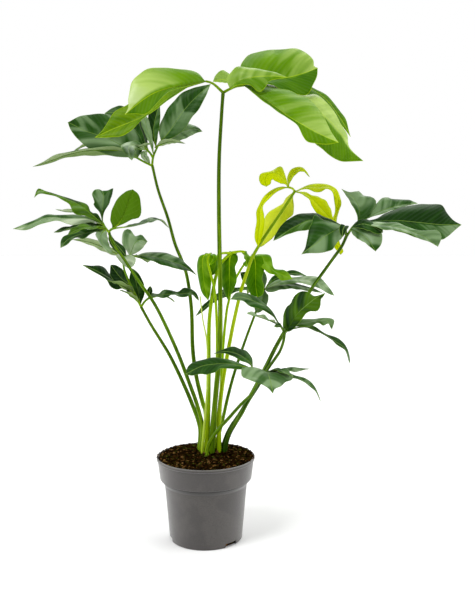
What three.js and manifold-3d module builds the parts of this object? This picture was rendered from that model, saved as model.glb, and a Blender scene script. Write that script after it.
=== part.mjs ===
// A potted philodendron: a grey nursery pot filled with soil, and twelve fronds that rise from its middle.
// Each frond has a long petiole, short arms at its top, and leaflets spread from the arms.
// Millimetres, +Z up, the origin at the middle of the pot's flat base, the front of the plant toward -Y.
import * as THREE from "three";
import { mergeVertices } from "three/addons/utils/BufferGeometryUtils.js";
import Module from "manifold-3d";

// The pot: a standard 17 cm nursery pot
const RIM_RADIUS = 85;
const POT_HEIGHT = 143;
const BASE_RADIUS = 63;
const SHOULDER_RADIUS = 71.4;
const SHOULDER_HEIGHT = 96;
const COLLAR_RADIUS = 79.2;
const COLLAR_HEIGHT = 105.5;
const BEAD_DEPTH = 5;
const BEAD_STANDS_OUT = 1.6;
const BEAD_CHAMFER = 0.6;
const RIM_ROUNDING = 0.9;
const WALL = 1.6;
const FLOOR = 2.4;
const POT_SEGMENTS = 48;
const NOTCH_TURNS = [-75, 45, 165]; // degrees round from the front
const NOTCH_HEIGHT = 7;
const NOTCH_WIDTH = 25;
const NOTCH_CUT = 12; // how deep the notches' cutter is across the wall

// The soil and what stands in it
const GAP = 0.45;
const SOIL_EDGE_HEIGHT = 141.5;
const SOIL_CROWN = 3.5;
const SOIL_LUMP = 1.3;
const LUMP_WAVES = [[0.21, 0.17], [0.11, 0.27]]; // radians to the millimetre across and back
const SOIL_RINGS = 5;
const FOOT_DEPTH = 112;
const STUMP_PLACE = [4, 38];
const STUMP_RADIUS = 5;
const STUMP_TOP = 158;
const STUMP_TOP_RADIUS = 4;
const STUMP_SIDES = 10;

// Leaves and petioles
const BLADE_THICKNESS = 0.9;
const STALK_HALF_WIDTH = 1.2;
const WAVES = 2.5; // waves along an edge
const LEAFLET = { fold: 12, wave: 2, widest: 0.56, taper: 2 }; // where its row gives no other value
const BLADE_STEP = 23;
const BLADE_STEPS = [4, 7]; // the fewest and the most steps along a leaflet
const NEAR_END = 0.06; // the share of a drawn leaflet that takes its direction across from further in
const TIP_HALF_WIDTH = 0.4;
const STALK_SIDES = 6;
const PETIOLE_EXTRA_STEPS = 5; // steps along a petiole beyond one for each of its points
const ARM_RADIUS = 1.7;

// Points of the plant are given as [across, up, toward], as seen from a viewpoint in front of the pot:
// across and up are read on the upright plane through the pot's axis, and toward says how far the point
// lies before that plane.
const VIEWPOINT = new THREE.Vector3(55, -1194, 501);

// Each leaflet has its midrib's points from the root, and either the points of its left and right edge on
// the way from root to tip, looking to the tip, or a form: its half width, the way its upper side faces as
// [right, up, toward], the degrees that each half is folded up from flat, the wave of its edges, the share
// of its length where it is widest, and its taper, which is low for a full, blunt leaflet. A pair of values
// in a form is for the halves left and right of the midrib.
const FRONDS = [
  {
    name: "frond_crown",
    colour: "#7ea62c",
    foot: [11, 6],
    radii: [5, 2.8],
    petiole: [
      [11, 178, -4], [18, 257, 0], [24.6, 338, 3], [25.4, 430, 4], [23.5, 565, 4], [24, 650, 3],
      [28, 722, 2], [31, 764, 0],
    ],
    arms: [
      [[31, 762, 0], [14, 777, 6], [1, 781, 10]],
      [[31, 762, 0], [40, 767, -2], [52, 772, -3], [67, 774, 2]],
    ],
    leaflets: [
      {
        rib: [
          [1, 781, 10], [-14, 778, 22], [-50, 771.5, 38], [-75, 765, 48], [-91, 758, 54], [-108, 747, 59],
          [-123, 735, 63], [-134, 726, 65],
        ],
        left: [
          [-18, 776, 20], [-38, 772, 28], [-59, 764, 34], [-76, 749, 38], [-90, 733, 44], [-102, 726, 50],
          [-118, 727, 58],
        ],
        right: [
          [-14, 796, 6], [-44, 801, 16], [-85, 803, 28], [-109, 793, 38], [-122, 778, 48], [-128, 752, 58],
          [-128, 738, 62],
        ],
      },
      {
        rib: [
          [1, 781, 8], [-40, 767, 0], [-75, 743, -6], [-101, 724, -8], [-123, 714, -8], [-155, 701.5, -6],
          [-185, 688, -2],
        ],
        left: [
          [-31, 769, 6], [-74, 740, 4], [-100, 721.5, 4], [-113, 710, 6], [-126, 698, 8], [-141, 690, 8],
          [-164, 688, 3],
        ],
        right: [
          [-40, 779, -12], [-80, 768, -20], [-110, 754, -22], [-129, 743, -20], [-150, 731, -16],
          [-161, 717, -11], [-172, 700, -6],
        ],
      },
      {
        rib: [[54, 772, -4], [40, 781, -20], [27, 783, -34], [14, 780, -44]],
        left: [[48, 776, -10], [36, 778, -20], [24, 779, -32]],
        right: [[47, 788, -26], [37, 796, -38], [30, 799, -44], [19, 792, -46]],
      },
      {
        rib: [[42, 768, -2], [56, 780, 6], [80, 787, 12], [110, 789, 12], [139, 787, 8]],
        left: [[37, 785, -4], [46, 798, -8], [58, 805, -10], [82, 802, -4], [112, 797, 2]],
        right: [[56, 774, 12], [74, 775, 20], [90, 764, 26], [102, 771, 24], [110, 782, 16]],
      },
      {
        rib: [
          [60, 774, -3], [84, 779, -20], [110, 783.5, -34], [139, 787, -44], [166, 794, -49],
          [189, 802.5, -50],
        ],
        left: [
          [60, 804, -34], [69, 820, -60], [89, 829, -74], [123, 833, -82], [151, 834, -80], [169, 828, -72],
          [181, 816, -62], [183, 806, -54],
        ],
        right: [
          [86, 774, -8], [108, 776, -18], [124, 769, -22], [139, 764, -25], [163, 757.5, -30],
          [173, 760, -34], [182, 775, -40], [188, 790, -46],
        ],
      },
      {
        rib: [
          [67, 774, 2], [88, 760, 20], [115, 741, 38], [142, 722, 52], [170, 706, 62], [197, 692, 70],
          [225, 679.5, 74],
        ],
        left: [
          [84, 776, -2], [105, 771, 0], [127, 769, 4], [151, 762, 10], [175, 751, 22], [193, 734, 34],
          [203, 716, 46], [213, 697, 60],
        ],
        right: [
          [86, 757, 18], [112, 738, 34], [137, 721, 48], [154, 710, 58], [165, 690, 66], [173, 680.5, 70],
          [187, 678, 73], [206, 676.5, 74],
        ],
      },
      {
        rib: [
          [66, 774, 1], [110, 766, -20], [160, 752, -32], [200, 724, -36], [228, 695, -34], [246, 668, -32],
          [267, 649, -28],
        ],
        left: [
          [110, 776, -40], [166, 759, -52], [183, 760, -56], [198, 753, -56], [216, 732, -54],
          [230, 708, -48], [240, 692, -42], [242, 672, -38], [251, 657, -32],
        ],
        right: [
          [110, 752, 0], [150, 726, -10], [176, 690, -18], [186, 677, -22], [197, 670, -24],
          [212, 656, -26], [229, 649, -27], [246, 648, -27],
        ],
      },
      {
        rib: [
          [58, 773, -3], [110, 784, -60], [150, 779, -84], [185, 764, -94], [206, 748, -98],
          [226, 722, -102], [238, 703, -104], [245, 689, -104],
        ],
        left: [
          [110, 800, -80], [150, 788, -96], [180, 771, -104], [201, 760, -106], [214, 748, -107],
          [228, 731, -108], [237, 718, -107], [242, 700, -106],
        ],
        right: [
          [110, 770, -44], [150, 758, -66], [182, 748, -78], [200, 736, -86], [214, 726, -92],
          [228, 710, -98], [238, 698, -102],
        ],
      },
    ],
  },
  {
    name: "frond_upper_left",
    colour: "#33602f",
    foot: [1, 24],
    radii: [4.3, 2.4],
    petiole: [
      [0, 217, -30], [-5, 235, -34], [-16, 282, -44], [-22, 331, -52], [-24, 400, -62], [-33, 462, -70],
      [-51, 509, -77], [-63, 553, -82], [-79, 600, -87], [-89, 643, -90],
    ],
    arms: [
      [[-89, 641, -90], [-107, 650, -84], [-119, 657, -76]],
      [[-89, 641, -90], [-87, 656, -94], [-80, 672, -98], [-74, 682, -100]],
      [[-88, 655, -94], [-92, 662, -92], [-99, 669, -90]],
    ],
    leaflets: [
      {
        rib: [
          [-109, 652, -83], [-141, 665, -64], [-163, 667.5, -52], [-197, 666.5, -38], [-230, 660, -26],
          [-253, 652, -16], [-290, 639.5, -8],
        ],
        left: [
          [-141, 671, -46], [-163, 673, -34], [-201, 669, -18], [-226, 664, -8], [-253, 659, -2],
          [-275, 646, -3],
        ],
        right: [
          [-123, 654.5, -92], [-152, 657.5, -82], [-186, 658, -68], [-208, 657, -54], [-231, 655, -40],
          [-253, 648, -28], [-275, 641.5, -15],
        ],
      },
      {
        rib: [[-115, 655, -79], [-155, 673, -94], [-195, 675, -102], [-213, 669, -104], [-225, 660, -104]],
        half: 17, face: [0, 1, 0.2],
      },
      {
        rib: [
          [-112, 656, -80], [-139, 674, -72], [-168, 688, -66], [-186, 694, -64], [-202, 699, -62],
          [-217, 707, -60], [-230, 713, -58],
        ],
        left: [
          [-130, 655, -64], [-150, 656, -56], [-175, 663, -50], [-195, 670, -46], [-207, 679, -47],
          [-218, 690, -50], [-226, 702, -54],
        ],
        right: [
          [-105, 668, -88], [-106, 684, -92], [-118, 702, -94], [-138, 716, -94], [-160, 725, -92],
          [-179, 727.5, -86], [-195, 726, -80], [-210, 723, -72], [-221, 718, -64],
        ],
      },
      {
        rib: [[-98, 668, -90], [-122, 698, -110], [-140, 720, -120], [-156, 729, -126], [-168, 728, -128]],
        left: [[-122, 685, -100], [-142, 704, -108], [-158, 718, -118]],
        right: [[-106, 700, -112], [-120, 728, -128], [-138, 740, -134], [-153, 738, -134]],
      },
      {
        rib: [[-96, 668, -90], [-104, 690, -118], [-116, 712, -150], [-124, 724, -180]],
        half: 16, face: [-0.6, 0.6, 0.5],
      },
      {
        rib: [[-86, 660, -95], [-92, 682, -86], [-98, 706, -78], [-103, 727, -72]],
        left: [[-94, 680, -82], [-104, 702, -74], [-108, 718, -71]],
        right: [[-87, 680, -92], [-90, 702, -87], [-96, 721, -78]],
      },
      {
        rib: [[-82, 670, -98], [-86, 698, -102], [-82, 722, -106], [-75.5, 744, -110]],
        left: [[-90, 690, -103], [-96, 712, -106], [-92, 731, -109]],
        right: [[-79, 690, -100], [-75, 714, -103], [-74.5, 732, -107]],
      },
      {
        rib: [[-74, 682, -100], [-60, 697, -103], [-40, 726, -106], [-18, 751, -107], [10, 776, -104]],
        left: [
          [-77, 700, -106], [-71, 720, -111], [-58, 741, -115], [-40, 760, -117], [-22, 769, -115],
          [-6, 773, -110],
        ],
        right: [
          [-60, 685, -95], [-38, 698, -92], [-22, 720, -92], [-13, 731, -94], [-3, 746, -97],
          [6, 766, -101],
        ],
      },
      {
        rib: [[-75, 680, -100], [-54, 691, -112], [-32, 700, -124], [-16, 702, -132], [-4, 698, -138]],
        left: [[-66, 692, -114], [-50, 704, -128], [-33, 711, -139], [-20, 709, -144], [-10, 704, -143]],
        right: [[-60, 684, -101], [-44, 682.5, -104], [-29, 688, -114], [-15, 695, -127]],
      },
      {
        rib: [[-84, 672, -96], [-70, 678, -82], [-55, 681, -66], [-33, 678, -50]],
        left: [[-72, 674, -94], [-60, 677, -82], [-46, 679, -64]],
        right: [[-72, 684, -72], [-56, 686, -56], [-44, 683, -48]],
      },
      {
        rib: [[-98, 668, -90], [-118, 675, -62], [-128, 671, -38], [-127, 662, -20], [-123, 650, -8]],
        left: [[-108, 668, -70], [-117, 670, -46], [-117, 664, -28], [-119, 656, -15]],
        right: [[-114, 682, -70], [-134, 679, -50], [-142, 674, -36], [-138, 666, -24], [-131, 657, -13]],
      },
      {
        rib: [[-96, 666, -91], [-103, 661, -76], [-100, 653, -66], [-92.5, 645, -58]],
        half: 7, face: [0.3, 0.6, 0.7], fold: 10, wave: 1,
      },
      {
        rib: [[-99, 668, -90], [-114, 670, -72], [-106, 674, -54], [-87, 679, -44]],
        half: 6, face: [0, 1, -0.3], fold: 10, wave: 1,
      },
    ],
  },
  {
    name: "frond_left",
    colour: "#3c6b37",
    foot: [-9, 16],
    radii: [4, 2.2],
    petiole: [
      [-6, 192, -12], [-14.6, 231, -2], [-28, 270, 8], [-51, 331, 20], [-84, 402, 34], [-117, 451, 44],
      [-141, 488, 52], [-157, 511, 57], [-164, 532, 60],
    ],
    arms: [
      [[-164, 530, 60], [-170, 538, 54], [-174, 546, 44]],
      [[-164, 530, 60], [-158, 535, 66], [-150, 537, 70]],
    ],
    leaflets: [
      {
        rib: [
          [-172, 542, 49], [-191, 558, 55], [-204, 569, 60], [-220, 579, 66], [-240, 587, 71],
          [-264, 595, 75], [-281, 599, 77], [-289, 588, 78],
        ],
        left: [
          [-182, 547, 56], [-201, 556, 66], [-214, 558, 74], [-224, 564, 76], [-231, 577, 75],
          [-245, 586, 76], [-262, 592, 77], [-279, 594, 79],
        ],
        right: [
          [-182, 560, 48], [-193, 563, 46], [-198, 574, 46], [-208, 580, 50], [-226, 585, 58],
          [-247, 592, 66], [-268, 598, 71], [-282, 603, 74],
        ],
      },
      {
        rib: [
          [-172, 542, 49], [-198, 551, 40], [-218, 552, 32], [-240, 552, 24], [-265, 554, 16],
          [-285, 547, 9], [-305, 539, 4], [-326, 535, 0],
        ],
        left: [
          [-190, 546, 52], [-208, 544, 52], [-222, 542, 48], [-236, 544, 40], [-255, 549, 30],
          [-280, 542, 18], [-305, 533, 8],
        ],
        right: [
          [-190, 554, 30], [-205, 557, 18], [-225, 559, 6], [-250, 558.5, 0], [-268, 559, -2],
          [-288, 551, -4], [-305, 544, -4],
        ],
      },
      {
        rib: [[-174, 546, 44], [-174.5, 562, 40], [-173, 580, 36], [-172, 592, 31], [-174, 599, 24]],
        left: [
          [-179, 563, 44], [-189, 575, 46], [-187, 581, 46], [-191, 591, 42], [-188, 600, 34],
          [-180, 602, 28],
        ],
        right: [[-171, 563, 40], [-163, 576, 32], [-158, 590, 22], [-155, 603, 14], [-164, 600, 18]],
      },
      {
        rib: [
          [-158, 535, 66], [-148, 542, 68], [-140, 555, 70], [-133, 570, 71], [-128, 586, 71],
          [-122, 601.5, 70],
        ],
        left: [
          [-147, 540, 66], [-135, 545, 64], [-124, 551, 62], [-112, 554, 60], [-108, 566, 60],
          [-109, 581, 62], [-113, 594, 66],
        ],
        right: [[-158, 542, 68], [-161, 552, 74], [-156, 572, 78], [-147, 587, 77], [-134, 598, 73]],
      },
      {
        rib: [
          [-150, 537, 70], [-125, 540, 20], [-104, 544.5, -30], [-86, 550.5, -66], [-75, 549, -84],
          [-62, 537, -102],
        ],
        half: 9, face: [0, 0.9, 0.5], wave: 1, widest: 0.7,
      },
      {
        rib: [[-169, 537, 55], [-192, 537, 78], [-214, 534, 92], [-233, 525, 100]],
        half: 15, face: [-0.2, 0.9, 0.5],
      },
      {
        rib: [[-171, 539, 53], [-205, 541, 34], [-232, 534, 30], [-257, 529, 28]],
        half: 16, face: [0, 1, 0.4], wave: 3,
      },
      {
        rib: [[-168, 535, 57], [-205, 527, 74], [-230, 519, 84], [-246, 503, 92]],
        half: 14, face: [-0.1, 0.8, 0.6], wave: 3,
      },
      {
        rib: [[-168, 535, 57], [-177, 524, 46], [-172, 507, 38], [-158, 492, 34]],
        left: [[-166, 522, 50], [-163, 508, 44], [-158, 500, 38]],
        right: [[-181, 533, 44], [-186, 526, 36], [-180, 512, 32], [-168, 498, 32]],
      },
      {
        rib: [[-174, 546, 44], [-205, 562, -10], [-235, 564, -40], [-253, 568, -58]],
        half: 13, face: [0, 1, -0.1],
      },
      {
        rib: [[-163, 531, 58], [-157, 516, 38], [-146, 503, 28], [-134, 488, 24]],
        left: [[-154, 517, 34], [-144, 510, 24], [-136, 502, 20]],
        right: [[-164, 515, 44], [-156, 500, 36], [-144, 490, 30]],
      },
    ],
  },
  {
    name: "frond_lower_left",
    colour: "#2c5a2c",
    foot: [-13, 27],
    radii: [4.3, 2.4],
    petiole: [
      [-10, 192, -28], [-24, 235, -30], [-43, 280, -30], [-64, 323, -30], [-93, 371, -30], [-111, 404, -30],
    ],
    arms: [
      [
        [-110, 402, -30], [-125, 434, -27], [-138, 466, -28], [-138, 487, -30], [-128, 489, -34],
        [-118, 489, -36],
      ],
      [[-110, 402, -30], [-104, 411, -29], [-96, 418, -26]],
    ],
    leaflets: [
      {
        rib: [[-128, 489, -34], [-124, 500, -32], [-119, 511, -30], [-111, 516, -28], [-98, 514, -26]],
        left: [
          [-134, 498, -37], [-141, 511, -40], [-141, 525, -42], [-135, 534, -43], [-126, 533, -42],
          [-119, 523, -36], [-108, 525, -34],
        ],
        right: [[-120, 493, -28], [-110, 499, -23], [-103, 507, -22]],
      },
      {
        rib: [
          [-118, 489, -36], [-97, 489, -34], [-75, 485, -30], [-52, 478, -22], [-34, 470, -14],
          [-14, 456, -6],
        ],
        left: [
          [-106, 494, -46], [-88, 496, -52], [-72, 495, -50], [-56, 491, -43], [-40, 483, -31],
          [-28, 472, -19],
        ],
        right: [
          [-108, 485, -28], [-97, 482, -19], [-84, 478, -10], [-68, 472, -4], [-50, 468, 2], [-37, 464, 2],
          [-26, 463, -1],
        ],
      },
      {
        rib: [[-136, 488, -31], [-138, 489, -10], [-135, 480, 8], [-130, 467, 20]],
        left: [[-124, 490, -18], [-118, 483, 0], [-122, 473, 12]],
        right: [[-147, 493, -20], [-151, 488, 2], [-141, 475, 16]],
      },
      { rib: [[-121, 489, -36], [-108, 485, -56], [-98, 478, -78]], half: 12, face: [0.2, 1, 0.1] },
      {
        rib: [[-138, 487, -30], [-160, 498, -40], [-180, 507, -46], [-202, 514, -50], [-226, 517, -54]],
        left: [[-160, 503, -22], [-182, 515, -22], [-196, 519, -28], [-212, 519, -40]],
        right: [[-158, 491, -52], [-176, 498, -66], [-192, 506, -68], [-208, 512, -63]],
      },
      {
        rib: [
          [-118, 418, -28], [-138, 437, -42], [-155, 446, -50], [-170, 455, -56], [-188, 465, -61],
          [-210, 474, -66],
        ],
        left: [
          [-128, 424, -30], [-140, 433, -32], [-152, 432, -34], [-163, 438, -38], [-171, 451, -48],
          [-189, 461, -57],
        ],
        right: [
          [-136, 445, -54], [-150, 451, -64], [-163, 459, -70], [-171, 469, -74], [-181, 473, -73],
          [-194, 473, -70],
        ],
      },
      {
        rib: [[-121, 426, -27], [-140, 437, 0], [-155, 444, 16], [-169, 448, 26]],
        half: 13, face: [-0.2, 1, 0.2],
      },
      { rib: [[-127, 438, -27], [-145, 453, -50], [-161, 474, -70]], half: 13, face: [-0.4, 0.5, 0.9] },
      {
        rib: [[-114, 410, -30], [-130, 424, -8], [-146, 431, 8]],
        half: 10, face: [-0.1, 1, 0.3], fold: 10, wave: 1,
      },
      { rib: [[-111, 405, -30], [-115, 430, -52], [-124, 468, -62]], half: 13, face: [0.2, 0.1, 1] },
      {
        rib: [[-97, 417, -27], [-70, 423, -24], [-45, 424, -20], [-22, 425, -16], [-11, 413, -14]],
        half: 13, face: [0.1, 0.8, 0.4], fold: 10, wave: 4,
      },
      {
        rib: [[-99, 415, -28], [-85, 422, -52], [-65, 419, -70], [-52, 410, -80]],
        half: 11, face: [0.1, 1, 0.2], fold: 10,
      },
      {
        rib: [[-97, 417, -27], [-95, 428, -34], [-94, 438, -40]],
        half: 5, face: [0.2, 0.3, 1], fold: 10, wave: 1,
      },
    ],
  },
  {
    name: "frond_young_middle",
    colour: "#5c9018",
    foot: [0, 9],
    radii: [4.8, 2.7],
    petiole: [
      [2.4, 178, -12], [4, 217, -16], [5.2, 286, -22], [6, 364, -28], [9.6, 407, -33], [16, 445, -37],
      [22, 467, -39], [31, 482, -40], [48, 496, -40],
    ],
    arms: [
      [[46, 495, -40], [60, 497, -36], [68, 496, -32]],
      [[44, 494, -40], [30, 494, -38], [20, 490, -38]],
    ],
    leaflets: [
      {
        rib: [[20, 490, -38], [17, 472, -32], [10, 455, -28]],
        half: 10, face: [-0.5, 0.3, 0.8], wave: 1.5,
      },
      {
        rib: [[46, 495, -40], [42, 485, -38], [41, 460, -40], [41, 440, -42], [39, 413, -42]],
        left: [
          [54, 491, -42], [56, 482, -45], [51, 470, -47], [54, 452, -50], [51, 437, -49], [44, 424, -46],
        ],
        right: [[35, 489, -45], [29, 478, -50], [27, 458, -53], [29, 438, -53], [34, 423, -48]],
      },
      { rib: [[62, 497, -35], [69, 487, -48], [70, 470, -58]], half: 10, face: [0.4, 0.5, 0.7], fold: 10 },
      {
        rib: [[46, 495, -40], [48, 494, -80], [44, 487, -118], [38, 472, -150]],
        half: 9, face: [0, 1, -0.3],
      },
    ],
  },
  {
    name: "frond_young_left",
    colour: "#5f9a14",
    foot: [12, 19],
    radii: [3.4, 2],
    petiole: [
      [16, 200, -18], [20, 330, -17], [18, 407, -16], [14, 440, -15], [7, 467, -14], [4, 482, -14],
      [9, 494, -16],
    ],
    arms: [],
    leaflets: [
      {
        rib: [[8, 493, -16], [-3, 488, -18], [-4, 465, -20], [-1, 440, -22], [5, 413, -24]],
        left: [[6, 483, -14], [9, 465, -16], [10, 445, -20], [9, 427, -22]],
        right: [[-8, 490, -24], [-14, 478, -31], [-13, 458, -34], [-10, 440, -33], [-5, 425, -30]],
      },
      {
        rib: [[8, 493, -16], [14, 488, -3], [8, 474, 5]],
        half: 7, face: [0.3, 0.8, 0.5], fold: 10, wave: 1,
      },
      {
        rib: [[8, 493, -16], [6, 492, -44], [1, 484, -72], [-4, 468, -94]],
        half: 8, face: [-0.2, 1, -0.1], wave: 1.5,
      },
    ],
  },
  {
    name: "frond_young_right",
    colour: "#4f8a1c",
    foot: [23, 29],
    radii: [3.4, 2],
    petiole: [
      [24, 200, -24], [27, 265, -30], [30, 331, -38], [36, 391, -54], [40, 412, -60], [46, 438, -68],
      [58, 462, -77], [70, 480, -83], [76, 489, -86],
    ],
    arms: [],
    leaflets: [
      {
        rib: [[75, 488, -86], [84, 485, -79], [86, 460, -73], [86, 440, -71], [89, 419, -69]],
        left: [[96, 489, -83], [101, 470, -80], [97, 452, -79], [100, 437, -77], [98, 423, -73]],
        right: [[73, 478, -84], [70, 458, -84], [71, 438, -82], [78, 423, -75]],
      },
      {
        rib: [
          [75, 488, -86], [92, 488, -86], [105, 476, -86], [118, 463, -86], [132, 457, -86],
          [149, 450, -88],
        ],
        left: [
          [90, 492, -94], [105, 492, -100], [113, 487, -100], [114.5, 477, -96], [118, 468, -95],
          [126, 466, -96], [134, 466, -96], [143, 459, -92],
        ],
        right: [
          [88, 482, -80], [97, 469, -76], [110, 459, -76], [121, 456, -78], [128, 448, -79],
          [138, 448, -83],
        ],
      },
      {
        rib: [[75, 488, -86], [86, 489, -116], [96, 482, -146], [102, 466, -170]],
        half: 9, face: [0.2, 1, -0.2],
      },
    ],
  },
  {
    name: "frond_yellow",
    colour: "#b4cc10",
    foot: [23, 8],
    radii: [4.3, 2.2],
    petiole: [
      [23, 205, -9], [26, 245, -10], [32, 288, -12], [41, 338, -15], [50, 383, -18], [60, 426, -22],
      [69, 455, -25], [81, 488, -30], [100, 520, -37], [131, 566, -50], [153, 600, -60],
    ],
    arms: [
      [[152, 598, -60], [148, 603, -60], [141, 605, -58]],
    ],
    leaflets: [
      {
        rib: [
          [141, 605, -58], [134, 617, -52], [124, 627, -46], [112, 629, -40], [102, 621, -36],
          [104, 606, -34],
        ],
        left: [[135, 610, -50], [125, 612, -42], [114, 618, -36], [111, 611, -34]],
        right: [
          [137, 621, -60], [129, 640, -60], [113, 633, -52], [95, 628, -44], [91, 619, -39], [95, 610, -36],
        ],
      },
      {
        rib: [[141, 605, -58], [142, 617, -62], [149, 630, -66], [163, 635, -70], [177, 622, -72]],
        left: [[139, 622, -67], [144, 633, -72], [153, 639, -76], [165, 638, -76], [172, 631, -74]],
        right: [[145, 615, -57], [153, 626, -60], [161, 631, -65], [170, 630, -70]],
      },
      {
        rib: [
          [141, 605, -58], [122, 603, -50], [104, 586, -42], [93, 566, -34], [93, 545, -28], [90, 525, -22],
          [90, 504, -18],
        ],
        left: [
          [125, 599, -46], [113, 590, -38], [103, 580, -31], [98, 570, -26], [100, 558, -21],
          [101, 545, -19], [98, 528, -18], [95, 515, -17],
        ],
        right: [
          [128, 606, -56], [113, 601, -50], [102, 592, -46], [92, 578, -42], [87, 563, -36], [87, 548, -31],
          [84.5, 530, -26], [84.5, 517, -21],
        ],
      },
      {
        rib: [[151, 597, -60], [140, 580, -68], [122, 553, -74], [107, 530, -78], [91, 503, -80]],
        left: [
          [149, 586, -60], [151, 572, -60], [149, 560, -61], [140, 551, -63], [130, 538, -67],
          [116, 521, -72], [101, 508, -77],
        ],
        right: [
          [145, 594, -70], [136, 586, -78], [131, 578, -84], [119, 570, -88], [108, 564, -90],
          [101, 552, -89], [96, 530, -86],
        ],
      },
      {
        rib: [[152, 598, -60], [170, 593.5, -50], [188, 579, -42], [203, 563, -40], [219, 545, -40]],
        left: [
          [170, 597, -56], [181, 592, -54], [193, 589, -53], [204, 583, -50], [212, 571, -47],
          [216, 558, -44],
        ],
        right: [
          [168, 591, -45], [177, 583, -38], [182, 571, -34], [190, 561, -34], [199, 554, -36],
          [210, 549, -39],
        ],
      },
      {
        rib: [
          [152, 598, -60], [172, 605, -72], [192, 605, -82], [212, 605, -88], [224, 590, -92],
          [225, 565, -94], [219, 545, -94], [222, 515, -92], [231, 491, -90],
        ],
        left: [
          [171, 608, -78], [183, 611, -86], [196, 611, -92], [210, 609, -96], [223, 602, -97],
          [229, 588, -95], [231, 576, -91], [227, 564, -88], [223, 545, -87], [229, 512, -86],
          [235, 498, -88],
        ],
        right: [
          [172, 602, -66], [186, 597, -71], [196, 597, -73], [206, 602, -78], [216, 596, -85],
          [219, 580, -92], [220, 563, -97], [215, 545, -100], [216, 512, -99], [224, 498, -94],
        ],
      },
    ],
  },
  {
    name: "frond_back",
    colour: "#3f7030",
    foot: [15, 32],
    radii: [3.6, 2],
    petiole: [
      [29, 205, -46], [38, 245, -56], [49, 286, -66], [65, 335, -80], [84, 387, -96], [97, 422, -108],
      [101, 434, -110],
    ],
    arms: [],
    leaflets: [
      {
        rib: [
          [100, 432, -110], [130, 446, -112], [160, 449, -116], [190, 444, -118], [208, 433, -118],
          [221, 421, -118],
        ],
        left: [
          [122, 448, -122], [160, 454, -132], [184, 455, -134], [197, 452, -132], [207, 441, -126],
          [215, 431, -121],
        ],
        right: [[122, 438, -102], [152, 443, -104], [172, 441, -106], [194, 434, -109], [210, 425, -113]],
      },
      {
        rib: [[100, 432, -110], [125, 440, -122], [150, 440, -130], [175, 434, -136], [201, 426, -140]],
        left: [[114, 441, -126], [128, 447, -138], [144, 446, -144], [163, 440, -147], [185, 434, -145]],
        right: [[110, 427, -102], [128, 431, -108], [147, 433, -115], [178, 429, -127]],
      },
      {
        rib: [[100, 432, -110], [97, 415, -92], [88, 392, -86]],
        half: 12, face: [0.2, 0.6, 0.8], taper: 1.4,
      },
      {
        rib: [[100, 432, -110], [70, 433, -112], [42, 428, -112], [12, 412, -110], [-17, 386, -108]],
        half: 9, face: [-0.1, 0.8, 0.7],
      },
      { rib: [[100, 432, -110], [80, 446, -126], [60, 461, -136]], half: 13, face: [-0.3, 0.5, 0.9] },
      {
        rib: [[100, 432, -110], [99, 450, -104], [97, 466, -100]],
        half: 7, face: [0, 0.2, 1], fold: 10, wave: 1,
      },
      {
        rib: [[100, 432, -110], [92, 444, -150], [82, 440, -190], [72, 424, -216]],
        half: 14, face: [-0.1, 1, -0.2],
      },
      {
        rib: [[100, 432, -110], [118, 449, -126], [140, 458, -136], [160, 458, -144], [181, 450, -150]],
        half: 9, face: [0, 0.9, 0.5],
      },
    ],
  },
  {
    name: "frond_right",
    colour: "#2f5c30",
    foot: [28, 19],
    radii: [4.6, 2.4],
    petiole: [
      [36, 176, -16], [46, 196, -12], [60, 217, -8], [80, 252, 0], [102, 295, 10], [130, 350, 20],
      [178, 428, 34], [200, 460, 40], [220, 488, 45], [232, 505, 48], [241, 525, 50],
    ],
    arms: [
      [[240, 522, 50], [238, 535, 46], [232, 541, 42]],
      [[240, 522, 50], [252, 540, 44], [264, 548, 38]],
    ],
    leaflets: [
      {
        rib: [[232, 541, 42], [205, 549, 28], [178, 549, 16], [150, 537, 8], [133, 526, 3], [116, 515, 0]],
        left: [
          [215, 541, 42], [190, 536, 38], [174, 533, 30], [159, 531, 21], [141, 526, 12], [126, 519, 5],
        ],
        right: [
          [222, 547, 34], [202, 556, 16], [189, 561, 5], [172, 562, -3], [156, 559, -6], [140, 551, -6],
          [127, 538, -5], [119, 525, -2],
        ],
      },
      {
        rib: [
          [233, 540, 43], [222, 533, 56], [206, 524, 68], [190, 511, 76], [177, 502, 80], [164, 492, 82],
        ],
        left: [
          [233, 531, 54], [233, 521, 62], [224, 511, 70], [216, 500, 76], [206, 496, 79], [192, 494, 81],
          [177, 494, 82],
        ],
        right: [
          [224, 543, 46], [212, 547, 44], [200, 551, 44], [187, 559, 44], [181, 547, 54], [176, 533, 62],
          [173, 517, 70], [170, 503, 77],
        ],
      },
      {
        rib: [[240, 528, 49], [238, 540, 58], [234, 533, 68], [233, 521, 72]],
        half: 7, face: [0, 0.8, 0.6], fold: 10, wave: 1,
      },
      {
        rib: [[259, 545, 40], [262, 562, 32], [258, 577, 24], [248, 590, 17], [231, 602, 10]],
        left: [[257, 560, 35], [250, 573, 27], [241, 588, 19]],
        right: [
          [273, 553, 31], [283, 565, 22], [290, 579, 11], [283, 589, 6], [268, 591, 6], [260, 599, 3],
          [246, 596, 8],
        ],
      },
      {
        rib: [[264, 548, 38], [285, 559, 26], [310, 569, 10], [335, 575, -4], [360, 578, -14]],
        left: [
          [276, 558, 26], [283, 567, 18], [290, 577, 8], [299, 587, -4], [309, 588.5, -10], [318, 585, -16],
          [343, 584.5, -21], [352, 581.5, -19],
        ],
        right: [[283, 555, 32], [305, 562, 24], [328, 570, 10], [347, 575, -4]],
      },
      {
        rib: [
          [263, 547, 39], [290, 548, 46], [325, 549, 52], [360, 546, 58], [400, 542, 60], [435, 542, 58],
        ],
        left: [
          [289, 552, 38], [305, 561, 30], [320, 568, 26], [338, 573, 24], [360, 576, 24], [378, 577.5, 26],
          [392, 577, 30], [402, 574, 36], [411, 561, 45], [421, 550, 52],
        ],
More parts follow.
